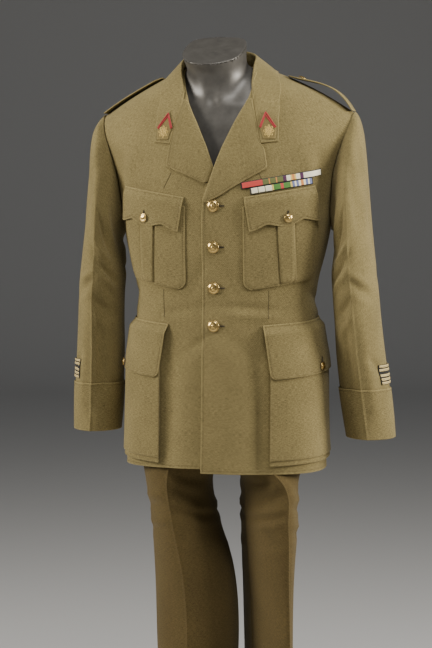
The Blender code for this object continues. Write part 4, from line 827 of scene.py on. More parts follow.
# Folds in the sleeve, as metres round from the front crease and metres down the arm.
SLEEVE_FOLDS = np.array(
    [
        (0.004, 0.290, -0.055, 0.330, 0.009, -2.4),
        (-0.004, 0.318, -0.060, 0.352, 0.008, 1.6),
        (0.008, 0.345, 0.060, 0.372, 0.010, -1.8),
        (-0.006, 0.375, -0.050, 0.400, 0.009, -1.8),
        (-0.018, 0.180, -0.052, 0.265, 0.010, -2.4),
        (-0.035, 0.120, -0.060, 0.210, 0.010, 1.8),
        (0.020, 0.080, 0.040, 0.240, 0.014, -1.6),
        (0.070, 0.070, 0.075, 0.230, 0.014, 1.6),
        (-0.030, 0.420, -0.034, 0.560, 0.012, -2.2),
        (0.030, 0.430, 0.034, 0.600, 0.014, 1.2),
        (0.150, 0.290, 0.190, 0.340, 0.010, -2.4),
        (0.120, 0.345, 0.175, 0.375, 0.010, -2.0),
        (-0.120, 0.300, -0.170, 0.345, 0.010, -2.0),
        (-0.110, 0.150, -0.150, 0.240, 0.012, -2.0),
        (0.010, 0.620, -0.020, 0.680, 0.012, -1.2),
        (0.000, 0.262, -0.040, 0.285, 0.007, 1.6),
        (-0.010, 0.300, -0.048, 0.340, 0.006, 1.8),
        (0.012, 0.330, 0.050, 0.352, 0.007, 1.6),
        (-0.008, 0.405, -0.045, 0.432, 0.008, 1.4),
        (0.040, 0.480, 0.070, 0.520, 0.010, -1.4),
        (0.060, 0.120, 0.095, 0.300, 0.014, -1.6),
    ]
)
RING_STEP = 0.052
SLEEVE_SWING = {1: 0.010, -1: 0.0}


def armhole_curve(side, turns):
    """Points of the armhole: turn -90 degrees at the armpit, 0 in front, 90 at the top."""
    heights = np.linspace(ARMHOLE_HEIGHTS[0], ARMHOLE_HEIGHTS[-1], 241)
    levels = np.interp(heights, fine_heights, fine_levels)
    shares = 0.5 + np.arcsin(np.sin(turns)) / math.pi
    made = []
    for armhole in (ARMHOLE_FRONT, ARMHOLE_BACK):
        points = tunic_point(side * table_curve(ARMHOLE_HEIGHTS, armhole, heights), levels)
        run = np.concatenate([[0], np.linalg.norm(np.diff(points, axis=0), axis=1).cumsum()])
        made.append(np.stack([np.interp(shares, run / run[-1], points[:, k]) for k in range(3)], -1))
    return np.where(np.cos(turns)[:, None] >= 0, *made) + (side * 0.8 * MM, 0, 0)


def sleeve_points(side, rings, turns):
    start = armhole_curve(side, turns)
    grid = []
    for ring in rings:
        ox, oz, ix, iz, centre, depth, own, crease = (table_curve(range(LAST_RING + 1), SLEEVE[:, k],
            ring) for k in range(8))
        outer, inner = np.array([ox, 0, oz]), np.array([ix, 0, iz])
        middle, reach = (outer + inner) / 2 + (0, centre, 0), (outer - inner) / 2
        wide = np.sign(np.sin(turns)) * np.abs(np.sin(turns)) ** (1 + 0.35 * crease)
        points = middle + wide[:, None] * reach - np.cos(turns)[:, None] * (0, depth, 0)
        points = (points + (SLEEVE_SWING[side] * (ring / LAST_RING) ** 2, 0, 0)) * (side, 1, 1)
        grid.append(start * (1 - np.clip(own, 0, 1)) + points * np.clip(own, 0, 1))
    return np.array(grid)


def place_sleeve(turn, ring, out, side, proud=0.0):
    turns, rings = turn[0], ring[:, 0]
    small = 0.01
    here = sleeve_points(side, rings, turns)
    around = sleeve_points(side, rings, turns + small) - sleeve_points(side, rings, turns - small)
    up, low = np.minimum(rings + small, LAST_RING), np.maximum(rings - small, 0)
    along = sleeve_points(side, up, turns) - sleeve_points(side, low, turns)
    normal = np.cross(around, along) * side * -1
    normal /= np.linalg.norm(normal, axis=-1, keepdims=True) + 1e-12
    middle = here.mean(1, keepdims=True)
    flip = np.sign(((here - middle) * normal).sum(-1).mean())
    wrapped = (turn + math.pi) % (2 * math.pi) - math.pi
    folds = 1.5 * fold_height(SLEEVE_FOLDS, wrapped * 0.062, ring * RING_STEP) * ease(ring, 0.3, 1.5)
    folds = folds * (1 - 0.8 * ease(ring, 11.6, 12.6))
    crease = 1.6 * MM * np.exp(-((wrapped * 0.062 / 0.0045) ** 2)) * ease(ring, 2.0, 5.0)
    head = 2.2 * MM * np.exp(-((ring / 0.35 - 1) ** 2)) * np.clip(np.sin(turn), 0, 1)
    pucker = 0.35 * MM * np.sin(turn * 34) * np.exp(-((ring / 0.5) ** 2)) * np.clip(np.sin(turn) + 0.4, 0, 1)
    return here + flip * normal * (out + proud + folds + crease + head + pucker)[..., None]


sleeve_turns = np.linspace(-math.pi, math.pi, 120, endpoint=False) + math.pi / 120
sleeve_rings = np.concatenate([[0, 0.006, 0.02, 0.05, 0.1], np.linspace(0.16, LAST_RING - 0.14, 150),
    LAST_RING - np.array([0.11, 0.085, 0.05, 0.02, 0.006, 0])])
for side_name, side in SIDES.items():
    place = lambda a, d, out, side=side: place_sleeve(a, d, out, side)
    piece = cloth(f"sleeve_{side_name}_cloth", place, sleeve_turns, sleeve_rings, tunic_wool, tube=True)
    cloth_place(piece, [f"sleeve_{side_name}"])

# The false cuffs: a band of the same wool laid round each sleeve end and sewn at its top
# edge, 97 mm deep, with its seam at the back.
CUFF_RINGS = (10.62, 12.97)
CUFF_PROUD = 0.7 * MM + CLOTH
cuff_stitches = []
for side_name, side in SIDES.items():
    place = lambda a, d, out, side=side: place_sleeve(a, d, out, side, CUFF_PROUD)
    cuff_rings = CUFF_RINGS[0] + edge_steps(0.097, 4 * MM, (True, True)) / 0.097 * (CUFF_RINGS[1] - CUFF_RINGS[0])
    piece = cloth(f"cuff_{side_name}_cloth", place, sleeve_turns, cuff_rings, tunic_wool, stitched="t", seam_in=4.7,
        tube=True)
    cloth_place(piece, [f"cuff_{side_name}"])
    ring = CUFF_RINGS[0] + 4.7 / 97 * (CUFF_RINGS[1] - CUFF_RINGS[0])
    turns = np.linspace(-math.pi, math.pi, 200)
    cuff_stitches.append(place(turns[None, :], np.full((1, 200), ring), np.full((1, 200), -0.15 * MM))[0])
sew("cuff_stitching", cuff_stitches, khaki_thread)

# The service bars: five short strips of pale gold braid, grouped two and three, sewn on a
# dark cloth backing at the outer side of each sleeve, just above the cuff.
BAR_HEIGHTS = (0.9715, 0.9785, 0.9860, 0.9965, 1.0035)
braid, braid_shader = plain_material("gold_braid", (0.90, 0.80, 0.52), 0.5)
backing_cloth, _ = plain_material("bar_backing", (0.018, 0.016, 0.012), 0.9)
braid_tree = braid.node_tree
braid_place = braid_tree.nodes.new("ShaderNodeUVMap")
braid_place.uv_map = "weave"
braid_wave = braid_tree.nodes.new("ShaderNodeTexWave")
braid_wave.bands_direction = "DIAGONAL"
braid_wave.inputs["Scale"].default_value = 330
braid_wave.inputs["Distortion"].default_value = 1.5
link(braid_tree, braid_place.outputs[0], braid_wave.inputs["Vector"])
# Painted light and shade: the braid's raised bands are lighter and its low bands darker, following the same wave as
# its relief.
link(braid_tree, blend_node(braid_tree, braid_wave.outputs[1], (0.50, 0.36, 0.13, 1), (0.84, 0.68, 0.34, 1)),
    braid_shader.inputs["Base Color"])
braid_bump = braid_tree.nodes.new("ShaderNodeBump")
braid_bump.inputs["Strength"].default_value = 0.6
braid_bump.inputs["Distance"].default_value = 0.4 * MM
link(braid_tree, braid_wave.outputs[1], braid_bump.inputs["Height"])
link(braid_tree, braid_bump.outputs[0], braid_shader.inputs["Normal"])
ring_samples = np.linspace(0, LAST_RING, 1301)
ring_heights = table_curve(range(LAST_RING + 1), SLEEVE[:, 1], ring_samples)
BAR_TURNS = {"left": (0.96, 2.36), "right": (0.66, 2.23)}
BAR_THICK = 1.2 * MM
for side_name, side in SIDES.items():
    first_turn, last_turn = BAR_TURNS[side_name]

    def bar_cloth(name, z_low, z_high, t_low, t_high, finish, proud):
        rings = np.interp([z_high, z_low], ring_heights[::-1], ring_samples[::-1])
        shares = edge_steps(0.055, 3 * MM, (False, False)) / 0.055
        down = rings[0] + edge_steps(z_high - z_low, 1.2 * MM,
            (False, False)) / (z_high - z_low) * (rings[1] - rings[0])

        def place(a, d, out):
            return place_sleeve(t_low + (t_high - t_low) * a, d, out, side, proud)

        return cloth(name, place, shares, down, finish, thick=BAR_THICK)

    base = bar_cloth(f"bar_backing_{side_name}", BAR_HEIGHTS[0] - 3.3 * MM, BAR_HEIGHTS[-1] + 3.3 * MM, first_turn,
        last_turn, backing_cloth, 1.9 * MM)
    for number, z in enumerate(BAR_HEIGHTS, 1):
        bar = bar_cloth(f"service_bar_{side_name}_{number}", z - 2.3 * MM, z + 2.3 * MM, first_turn + 0.02,
            last_turn - 0.02, braid, 3.1 * MM)
        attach(bar, "root")
    cloth_place(base, [f"service_bars_{side_name}"])

# The chest pockets: a patch of the same wool with a box pleat down its middle, sewn close
# to its edge, under a flap cut with three points that a small button holds down.
CHEST_INNER, CHEST_OUTER = 0.0557, 0.2000
CHEST_BOTTOM, CHEST_TALL = 1.1480, 0.160
CHEST_SLOPE = math.tan(math.radians(9.2))
CHEST_PLEAT = (0.1205, 0.1510)
RIM = 0.8 * MM + CLOTH
CHEST_TILT = math.radians(9.3)
CHEST_FLAP_WIDE, CHEST_FLAP_DEEP = 0.139, 0.0572


def corner_inset(distance, radius):
    """How far a rounded corner draws the side in, at a distance from the bottom."""
    reach = np.clip(1 - distance / radius, 0, 1)
    return radius * (1 - np.sqrt(1 - reach**2))


def place_chest_bag(share, up, out, side):
    inset = corner_inset(up, 0.020)
    start, end = CHEST_INNER + inset, CHEST_OUTER - inset
    arc = start + (end - start) * share
    slant = 0.045 * (0.11 - up)
    p0, p1 = CHEST_PLEAT[0] + slant, CHEST_PLEAT[1] + slant
    middle = ease(arc, start, start + 0.012) * (1 - ease(arc, end - 0.012, end))
    middle = middle * ease(up, 0, 0.009) * (1 - ease(up, 0.150, 0.160))
    pleat = 2.4 * ease(arc, p0 - 0.3 * MM, p0 + 0.6 * MM) * (1 - ease(arc, p1 - 1.2 * MM, p1 + 1.8 * MM))
    ditch = (
        -1.9 * np.exp(-(((arc - p0 + 1.5 * MM) / (1.1 * MM)) ** 2))
        - 0.7 * np.exp(-(((arc - p1 - 2.2 * MM) / (1.2 * MM)) ** 2))
    )
    sag = 0.8 * np.sin(arc * 62 + up * 24) * np.sin(up * 38)
    high = RIM + MM * (1.1 + pleat + ditch + 0.5 * sag) * middle
    z = CHEST_BOTTOM + up + (arc - CHEST_INNER) * CHEST_SLOPE
    return on_front(side, arc, z, out + high)


def chest_flap_place(along, down):
    arc = 0.0575 + along * math.cos(CHEST_TILT) + down * math.sin(CHEST_TILT)
    return arc, 1.3247 + along * math.sin(CHEST_TILT) - down * math.cos(CHEST_TILT)


def place_chest_flap(share, fall, out, side):
    scallop = np.abs(np.cos(2 * math.pi * share)) ** 1.4
    deep = CHEST_FLAP_DEEP + 0.0085 * scallop
    high = RIM + (8.0 * MM - RIM) * ease(fall, 0, 0.24)
    high = high + 0.9 * MM * np.sin(2 * math.pi * share) ** 2 * ease(fall, 0.3,
        1) - 1.2 * MM * np.exp(-(((share - 0.5) / 0.12) ** 2)) * ease(fall, 0.4, 0.9)
    arc, z = chest_flap_place(share * CHEST_FLAP_WIDE, fall * deep)
    return on_front(side, arc, z, out + high)


pleat_steps = np.concatenate([[-4, -2.6, -1.5, -0.6, 0.1, 0.8, 2], np.array([-4, -2, 0, 1.6, 2.4, 4]) + 30.5]) * MM
pocket_stitches = []
for side_name, side in SIDES.items():
    place = lambda a, d, out, side=side: place_chest_bag(a, d, out, side)
    wide = CHEST_OUTER - CHEST_INNER
    coarse = edge_steps(wide, 4 * MM, (True, True))
    fine_shares = np.sort(np.concatenate([coarse, CHEST_PLEAT[0] - CHEST_INNER + pleat_steps,
        CHEST_PLEAT[0] - CHEST_INNER + 2 * MM + pleat_steps])) / wide
    ups = edge_steps(CHEST_TALL, 3 * MM, (True, True))[::-1]
    piece = cloth(f"chest_pocket_{side_name}_cloth", place, fine_shares, ups, tunic_wool, stitched="lrb",
        seam_in=4.7)
    cloth_place(piece, [f"chest_pocket_{side_name}"])
    place_flap = lambda a, d, out, side=side: place_chest_flap(a, d, out, side)
    shares = edge_steps(CHEST_FLAP_WIDE, 2.4 * MM, (True, True)) / CHEST_FLAP_WIDE
    falls = edge_steps(0.062, 3 * MM, (True, True)) / 0.062
    piece = cloth(f"chest_flap_{side_name}_cloth", place_flap, shares, falls, tunic_wool, stitched="lrbt",
        seam_in=4.7)
    cloth_place(piece, [f"chest_flap_{side_name}"])
    n = 120
    ups = np.linspace(0.006, 0.150, n)
    for share in (4.7 * MM / wide, 1 - 4.7 * MM / wide):
        pocket_stitches.append(place(np.full(n, share), ups, np.full(n, -0.1 * MM)))
    pocket_stitches.append(place(np.linspace(0.05, 0.95, n), np.full(n, 4.7 * MM), np.full(n, -0.1 * MM)))
    inset = 4.7 * MM / CHEST_FLAP_WIDE
    pocket_stitches.append(place_flap(np.linspace(inset, 1 - inset, n), np.full(n, 1 - 4.7 / 62),
        np.full(n, -0.1 * MM)))
    pocket_stitches.append(place_flap(np.linspace(inset, 1 - inset, n), np.full(n, 4.7 / 62),
        np.full(n, -0.1 * MM)))
    for share in (inset, 1 - inset):
        pocket_stitches.append(place_flap(np.full(n, share), np.linspace(0.09, 0.92, n), np.full(n, -0.1 * MM)))
sew("chest_pocket_stitching", pocket_stitches, khaki_thread)

# The darts: narrow folds of the front sewn away inside, so only a sunk line shows, one from
# the lapel down to the chest flap and one from the chest pocket down to the waist.
def cord_along(name, line, radius, finish, sides=8):
    """A round cord along a line of points."""
    line = np.asarray(line, float)
    along = np.gradient(line, axis=0)
    along /= np.linalg.norm(along, axis=1, keepdims=True) + 1e-12
    side = np.cross(along, (0.2, 0.9, 0.35))
    side /= np.linalg.norm(side, axis=1, keepdims=True) + 1e-12
    over = np.cross(along, side)
    turns = np.arange(sides) * 2 * math.pi / sides
    rings = line[:, None] + (side[:, None] * np.cos(turns)[None, :, None] + over[:, None] * np.sin(turns)[None, :,
        None]) * radius
    count = len(line)
    faces = [
        (r * sides + k, r * sides + (k + 1) % sides, (r + 1) * sides + (k + 1) % sides, (r + 1) * sides + k)
        for r in range(count - 1)
        for k in range(sides)
    ]
    points = np.concatenate([rings.reshape(-1, 3), line[:1], line[-1:]])
    made = add_piece(name, points, faces, finish)
    shape = bmesh.new()
    shape.from_mesh(made.data)
    shape.verts.ensure_lookup_table()
    for k in range(sides):
        n = (k + 1) % sides
        shape.faces.new([shape.verts[i] for i in (count * sides, n, k)]).smooth = True
        shape.faces.new([shape.verts[i] for i in (count * sides + 1, (count - 1) * sides + k,
            (count - 1) * sides + n)]).smooth = True
    bmesh.ops.recalc_face_normals(shape, faces=shape.faces)
    shape.to_mesh(made.data)
    shape.free()
    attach(made, "root")
    return made


# The darts' dark cords are painted shade: they stand for the shadow in each dart's sunk seam.
dart_shade_line, _ = plain_material("dart_shade_line", (0.090, 0.068, 0.026), 0.95)
for side_name, side in SIDES.items():
    for number, dart in enumerate((((0.084, 1.372), (0.100, 1.342)), ((0.104, 1.150), (0.103, 1.096))), 1):
        arcs, heights = (np.linspace(start, end, 24) for start, end in zip(*dart))
        cord_along(f"dart_{side_name}_{number}", on_front(side, arcs, heights, np.full(24, 0.0)), 0.65 * MM,
            dart_shade_line, 6)

# The skirt pockets: large bags on folded sides that stand about 9 mm proud of the skirt,
# creased again just above the bottom edge, under a deep plain flap with one small button.
BAG_INNER, BAG_WIDE = 0.1060, 0.2120
BAG_BOTTOM, BAG_TALL = 0.8170, 0.2450
BAG_PROUD = 9.0 * MM
FLAP_WIDE, FLAP_DEEP = 0.212, 0.104
FLAP_OUT = 12.2 * MM


def place_skirt_bag(across, up, out, side):
    # The folded sides go back in under the face.
    side_rise = np.clip(np.minimum(across, BAG_WIDE - across) / (1.6 * MM), 0, 1) ** 0.45
    arc = BAG_INNER + across + 4.5 * MM * (1 - side_rise) * np.sign(BAG_WIDE / 2 - across)
    inside = np.minimum(np.minimum(across, BAG_WIDE - across), np.minimum(up, BAG_TALL - up))
    rise = np.clip(inside / (1.6 * MM), 0, 1) ** 0.45
    low = 0.8 * MM + CLOTH
    face = BAG_PROUD + 1.6 * MM * np.sin(across * 21 + 0.6) * ease(inside, 0, 0.04) * np.sin(up * 11 + 1)
    ditch = -1.8 * MM * np.exp(-(((up - 9.5 * MM) / (1.3 * MM)) ** 2)) * ease(across, 2 * MM, 9 * MM)
    lip = -2.6 * MM * (1 - ease(up, 7 * MM, 12 * MM))
    high = low + (face - low) * rise + (ditch + lip) * rise
    return on_front(side, arc, BAG_BOTTOM + up + across * 0.038, out + high)


def skirt_flap_place(along, down):
    arc = 0.0922 + along * math.cos(math.radians(4)) + down * math.sin(math.radians(9))
    return arc, 1.0840 + along * math.sin(math.radians(4)) - down * math.cos(math.radians(9))


def place_skirt_flap(share, down, out, side):
    inset = corner_inset(FLAP_DEEP - down, 0.012)
    along = inset + (FLAP_WIDE - 2 * inset) * share
    high = RIM + (FLAP_OUT - RIM) * ease(down, 0, 0.020) + 1.0 * MM * np.sin(share * 9) * ease(down, 0.02, 0.09)
    arc, z = skirt_flap_place(along, down * (1 - 0.055 * share))
    return on_front(side, arc, z, out + high)


skirt_stitches = []
for side_name, side in SIDES.items():
    place = lambda a, d, out, side=side: place_skirt_bag(a, d, out, side)
    across = np.concatenate([[0, 0.25, 0.7, 1.2, 1.7, 2.4, 3.4, 4.0, 4.6, 5.4], np.linspace(7, 205, 50),
        212 - np.array([5.4, 4.6, 4.0, 3.4, 2.4, 1.7, 1.2, 0.7, 0.25, 0])]) * MM
    ups = np.concatenate([[0, 0.25, 0.7, 1.2, 1.7, 2.4, 4, 6, 7.5, 8.5, 9.5, 10.5, 11.5, 13],
        np.linspace(16, 238, 56), 245 - np.array([4, 2.4, 1.7, 1.2, 0.7, 0.25, 0])]) * MM
    piece = cloth(f"skirt_pocket_{side_name}_cloth", place, across, ups[::-1], tunic_wool, stitched="l",
        seam_in=4.0)
    cloth_place(piece, [f"skirt_pocket_{side_name}"])
    place_flap = lambda a, d, out, side=side: place_skirt_flap(a, d, out, side)
    shares = edge_steps(FLAP_WIDE, 4 * MM, (True, True)) / FLAP_WIDE
    piece = cloth(f"skirt_flap_{side_name}_cloth", place_flap, shares,
        edge_steps(FLAP_DEEP, 2.5 * MM, (True, True)), tunic_wool, stitched="lrbt", seam_in=4.7)
    cloth_place(piece, [f"skirt_flap_{side_name}"])
    n = 160
    inset = 4.7 * MM / FLAP_WIDE
    for down in (4.7 * MM, FLAP_DEEP - 4.7 * MM):
        skirt_stitches.append(place_flap(np.linspace(inset, 1 - inset, n), np.full(n, down), np.full(n, -0.1 * MM)))
    for share in (inset, 1 - inset):
        skirt_stitches.append(place_flap(np.full(n, share), np.linspace(5 * MM, FLAP_DEEP - 8 * MM, n),
            np.full(n, -0.1 * MM)))
    skirt_stitches.append(place(np.full(n, 4.0 * MM), np.linspace(0.012, 0.235, n), np.full(n, -0.1 * MM)))
sew("skirt_pocket_stitching", skirt_stitches, khaki_thread)

# The shoulder straps: doubled cloth with a rounded tip buttoned by the collar, the other
# end sewn into the sleeve head. The wearer's left one bows up off the shoulder.
STRAP_OUTER_X, STRAP_INNER_X = 0.2440, 0.1240
STRAP_GAP = {"left": 15.0 * MM, "right": 1.0 * MM}
STRAP_THICK = 2.4 * MM


def ridge_point(x):
    z = TUNIC[-1, 0] - SHOULDER_FALL * (np.abs(x) / SHOULDER_HALF) ** 1.6
    return np.stack([x + neck_lean(np.abs(x), z), np.full(x.shape, TUNIC[-1, 4]), z], -1)


def strap_place(side_name, share, across, out):
    """A strap's surface: share 0 at its tip by the collar, 1 at the sleeve head."""
    side = SIDES[side_name]
    x = STRAP_INNER_X + (STRAP_OUTER_X - STRAP_INNER_X) * share
    bow = np.sin(math.pi * np.clip(share, 0, 1) ** (math.log(0.5) / math.log(0.62)))
    slope = (ridge_point(side * (x + MM)) - ridge_point(side * (x - MM))) * side
    normal = np.cross(slope, (0, 1, 0))
    normal = normal / np.linalg.norm(normal, axis=-1, keepdims=True)
    normal = normal * np.sign(normal[..., 2:])
    lift = out + 0.6 * MM + STRAP_GAP[side_name] * bow
    return ridge_point(side * x) + across[..., None] * np.array([0, 1.0, 0]) + normal * lift[..., None]


strap_stitches = []
for side_name, side in SIDES.items():

    def place(a, d, out, side_name=side_name):
        half = 0.010 + 0.014 * np.minimum(1, np.sqrt(np.clip(d / 0.12, 0, 1)))
        return strap_place(side_name, d, a * half, out + STRAP_THICK)

    shares = edge_steps(0.048, 3 * MM, (True, True)) / 0.024 - 1
    piece = cloth(f"shoulder_strap_{side_name}_cloth", place, shares,
        edge_steps(0.135, 2.5 * MM, (True, True)) / 0.135, tunic_wool, STRAP_THICK, stitched="lrt", seam_in=4.7)
    cloth_place(piece, [f"shoulder_strap_{side_name}"])
    n = 120
    for edge in (-1, 1):
        strap_stitches.append(place(np.full(n, edge * (1 - 4.7 / 24)), np.linspace(0.05, 0.99, n),
            np.full(n, -0.1 * MM)))
sew("strap_stitching", strap_stitches, khaki_thread)

# The collar patches: five-sided pieces of felt, pointing up, with red piping on the two
# upper edges and a small rosette worked in gold thread, sewn near each collar end.
PATCH = np.array(((1.4330, 0.0925, 0.1150), (1.4450, 0.0890, 0.1165), (1.4560, 0.0845, 0.1165),
    (1.4700, 0.0885, 0.1060), (1.4830, 0.0935, 0.0965)))
PATCH_LOW = COLLAR_MIDDLE + CLOTH / 2 + 0.5 * MM
PATCH_THICK = 1.2 * MM
patch_felt = wool_material("patch_felt", (0.285, 0.215, 0.082), (0.125, 0.09, 0.030), 2 * math.pi / (1.4 * MM),
    0.2 * MM)
red_piping, _ = plain_material("red_piping", (0.36, 0.028, 0.030), 0.8)
gold_thread, _ = plain_material("gold_thread", (0.66, 0.47, 0.14), 0.5, 0.3)


for side_name, side in SIDES.items():

    def place(a, d, out, side=side):
        inner, outer = (np.interp(d, PATCH[:, 0], PATCH[:, k]) for k in (1, 2))
        return on_front(side, inner + (outer - inner) * a, d, out + PATCH_LOW + PATCH_THICK)

    downs = np.sort(np.concatenate([np.linspace(1.4345, 1.4815, 22),
        [1.4330, 1.43325, 1.4337, 1.4823, 1.48265, 1.4830]]))[::-1]
    piece = cloth(f"collar_patch_{side_name}_felt", place, edge_steps(0.027, 1.5 * MM, (False, False)) / 0.027,
        downs, patch_felt, PATCH_THICK)
    # Two cords of piping lie side by side along each upper edge and meet at the point.
    for number, (drop, inward, radius) in enumerate(((0.0, 0.0, 1.35 * MM), (0.0056, 0.0006, 1.15 * MM)), 1):
        corners = ((1.4545 - drop / 4, 0.0852 + inward * 3), (1.4825 - drop, 0.0950),
            (1.4545 - drop / 4, 0.1160 - inward * 3))
        along = np.array([0, 12, 24])
        places = np.arange(25)
        arcs = np.interp(places, along, [c[1] for c in corners])
        heights = np.interp(places, along, [c[0] for c in corners])
        line = on_front(side, arcs, heights, np.full(25, PATCH_LOW + PATCH_THICK + 0.3 * MM))
        cord_along(f"patch_piping_{side_name}_{number}", line, radius, red_piping)
    # A plain rosette of petals in rings, drawn with thick gold thread.
    turns = np.linspace(0, 2 * math.pi, 145)
    rosette = (0.0078 + 0.0022 * np.cos(turns * 8), 0.0056 + 0.0012 * np.sin(turns * 8), np.full(145, 0.0038),
        0.0018 + 0.0008 * np.cos(turns * 4))
    for number, reach in enumerate(rosette, 1):
        arcs, heights = 0.1025 + reach * np.sin(turns), 1.4476 + reach * np.cos(turns) * 1.12
        line = on_front(side, arcs, heights, np.full(145, PATCH_LOW + PATCH_THICK + 0.25 * MM))
        cord_along(f"patch_rosette_{side_name}_{number}", line, 0.60 * MM, gold_thread, 6)
    cloth_place(piece, [f"collar_patch_{side_name}"])

# The medal ribbons: short pieces of striped silk folded round two stiff bars, edged in
# black, and pinned above the wearer's left chest pocket.
RIBBON_TILT = math.radians(9.8)
RED, OLIVE, WHITE, GREEN = (0.66, 0.085, 0.07), (0.17, 0.18, 0.065), (1.00, 0.92, 0.68), (0.11, 0.26, 0.06)
ORANGE, PURPLE, BLUE, YELLOW = (0.78, 0.30, 0.08), (0.11, 0.04, 0.09), (0.20, 0.23, 0.42), (0.85, 0.62, 0.16)
RIBBONS = {
    "top": (0.1308, 1.3592, 0.1570, (
        ((1, RED),),
        ((3, OLIVE), (0.5, ORANGE), (3, OLIVE), (0.5, ORANGE), (3, OLIVE)),
        ((2, PURPLE), (2.4, WHITE), (1, YELLOW), (1.4, ORANGE), (1, YELLOW), (2.4, WHITE), (2, PURPLE)),
        ((1, WHITE),),
    )),
    "bottom": (0.1290, 1.3460, 0.1180, (
        ((1, WHITE), (0.12, OLIVE), (1, WHITE), (0.12, OLIVE), (1, WHITE)),
        ((0.6, YELLOW), (2.4, GREEN), (1, RED), (2.4, GREEN), (0.6, YELLOW)),
        ((1.2, BLUE), (0.8, WHITE), (1.2, BLUE), (1, WHITE), (1.4, ORANGE), (1, WHITE), (1.2, BLUE), (0.8, WHITE),
            (1.2, BLUE)),
    )),
}
black_edging, _ = plain_material("ribbon_edging", (0.012, 0.012, 0.014), 0.7)
ribbon_silk, silk_shader = plain_material("ribbon_silk", (0.5, 0.5, 0.5), 0.5)
silk_tree = ribbon_silk.node_tree
silk_place = silk_tree.nodes.new("ShaderNodeUVMap")
silk_place.uv_map = "weave"
silk_rib = silk_tree.nodes.new("ShaderNodeTexWave")
silk_rib.bands_direction = "Y"
silk_rib.inputs["Scale"].default_value = 300
silk_rib.inputs["Distortion"].default_value = 0.6
link(silk_tree, silk_place.outputs[0], silk_rib.inputs["Vector"])
silk_dye = silk_tree.nodes.new("ShaderNodeAttribute")
silk_dye.attribute_name = "dye"
silk_shade = blend_node(silk_tree, sum_node(silk_tree, "MULTIPLY", silk_rib.outputs[1], 0.05),
    silk_dye.outputs["Color"], (0.05, 0.045, 0.04, 1))
link(silk_tree, silk_shade, silk_shader.inputs["Base Color"])
silk_bump = silk_tree.nodes.new("ShaderNodeBump")
silk_bump.inputs["Strength"].default_value = 0.5
silk_bump.inputs["Distance"].default_value = 0.25 * MM
link(silk_tree, silk_rib.outputs[1], silk_bump.inputs["Height"])
link(silk_tree, silk_bump.outputs[0], silk_shader.inputs["Normal"])
silk_shader.inputs["Specular IOR Level"].default_value = 0.2
RIBBON_TALL = 0.0129
for row_name, (middle_x, middle_z, long_, ribbons) in RIBBONS.items():

    def place_row(along, up, out):
        arc = middle_x + along * math.cos(RIBBON_TILT) - up * math.sin(RIBBON_TILT)
        return on_front(1, arc, middle_z + along * math.sin(RIBBON_TILT) + up * math.cos(RIBBON_TILT),
            out + 0.6 * MM)

    board_long = long_ + 2.4 * MM
    place = lambda a, d, out: place_row(a - board_long / 2, d - RIBBON_TALL / 2, out + 2.0 * MM)
    board = cloth(f"ribbon_bar_{row_name}", place, edge_steps(board_long, 4 * MM, (False, False)),
        edge_steps(RIBBON_TALL, 1.5 * MM, (False, False))[::-1], black_edging, 2.0 * MM)
    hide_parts(f"ribbon_row_{row_name}")
    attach(board, "root")
    room = (long_ - 2.4 * MM) / len(ribbons)
    for number, stripes in enumerate(ribbons):
        first = -long_ / 2 + 1.2 * MM + room * number + 0.1 * MM
        total = sum(width for width, _ in stripes)
        inner = room - 0.2 * MM
        ends = np.cumsum([0] + [width for width, _ in stripes]) / total * inner
        columns = sorted({0.0, 0.3 * MM, 0.8 * MM, inner - 0.8 * MM, inner - 0.3 * MM,
            inner} | {float(e) for e in ends[1:-1]})
        columns = np.unique(np.concatenate([columns, np.linspace(1.2 * MM, inner - 1.2 * MM, 12)]))
        tall = RIBBON_TALL - 2.8 * MM
        place = lambda a, d, out, first=first, tall=tall: place_row(first + a, d - tall / 2, out + 2.9 * MM)
        silk = cloth(f"ribbon_{row_name}_{number + 1}", place, columns,
            edge_steps(tall, 1.2 * MM, (False, False))[::-1], ribbon_silk, 0.8 * MM)
        mesh = silk.data
        uv = np.zeros(2 * len(mesh.loops))
        mesh.uv_layers["weave"].data.foreach_get("uv", uv)
        across = uv.reshape(-1, 2)[:, 0]
        colour = np.ones((len(mesh.loops), 4))
        starts = np.zeros(len(mesh.polygons), int)
        mesh.polygons.foreach_get("loop_start", starts)
        sizes = np.zeros(len(mesh.polygons), int)
        mesh.polygons.foreach_get("loop_total", sizes)
        face_middle = np.add.reduceat(across, starts) / sizes / (across.max() / inner)
        which = np.clip(np.searchsorted(ends, face_middle) - 1, 0, len(stripes) - 1)
        dyes = np.array([dye for _, dye in stripes])
        colour[:, :3] = np.repeat(dyes[which], sizes, axis=0)
        mesh.color_attributes.new("dye", "FLOAT_COLOR", "CORNER").data.foreach_set("color", colour.ravel())
        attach(silk, "root")
        wide, tall_uv = uv.reshape(-1, 2).max(0)

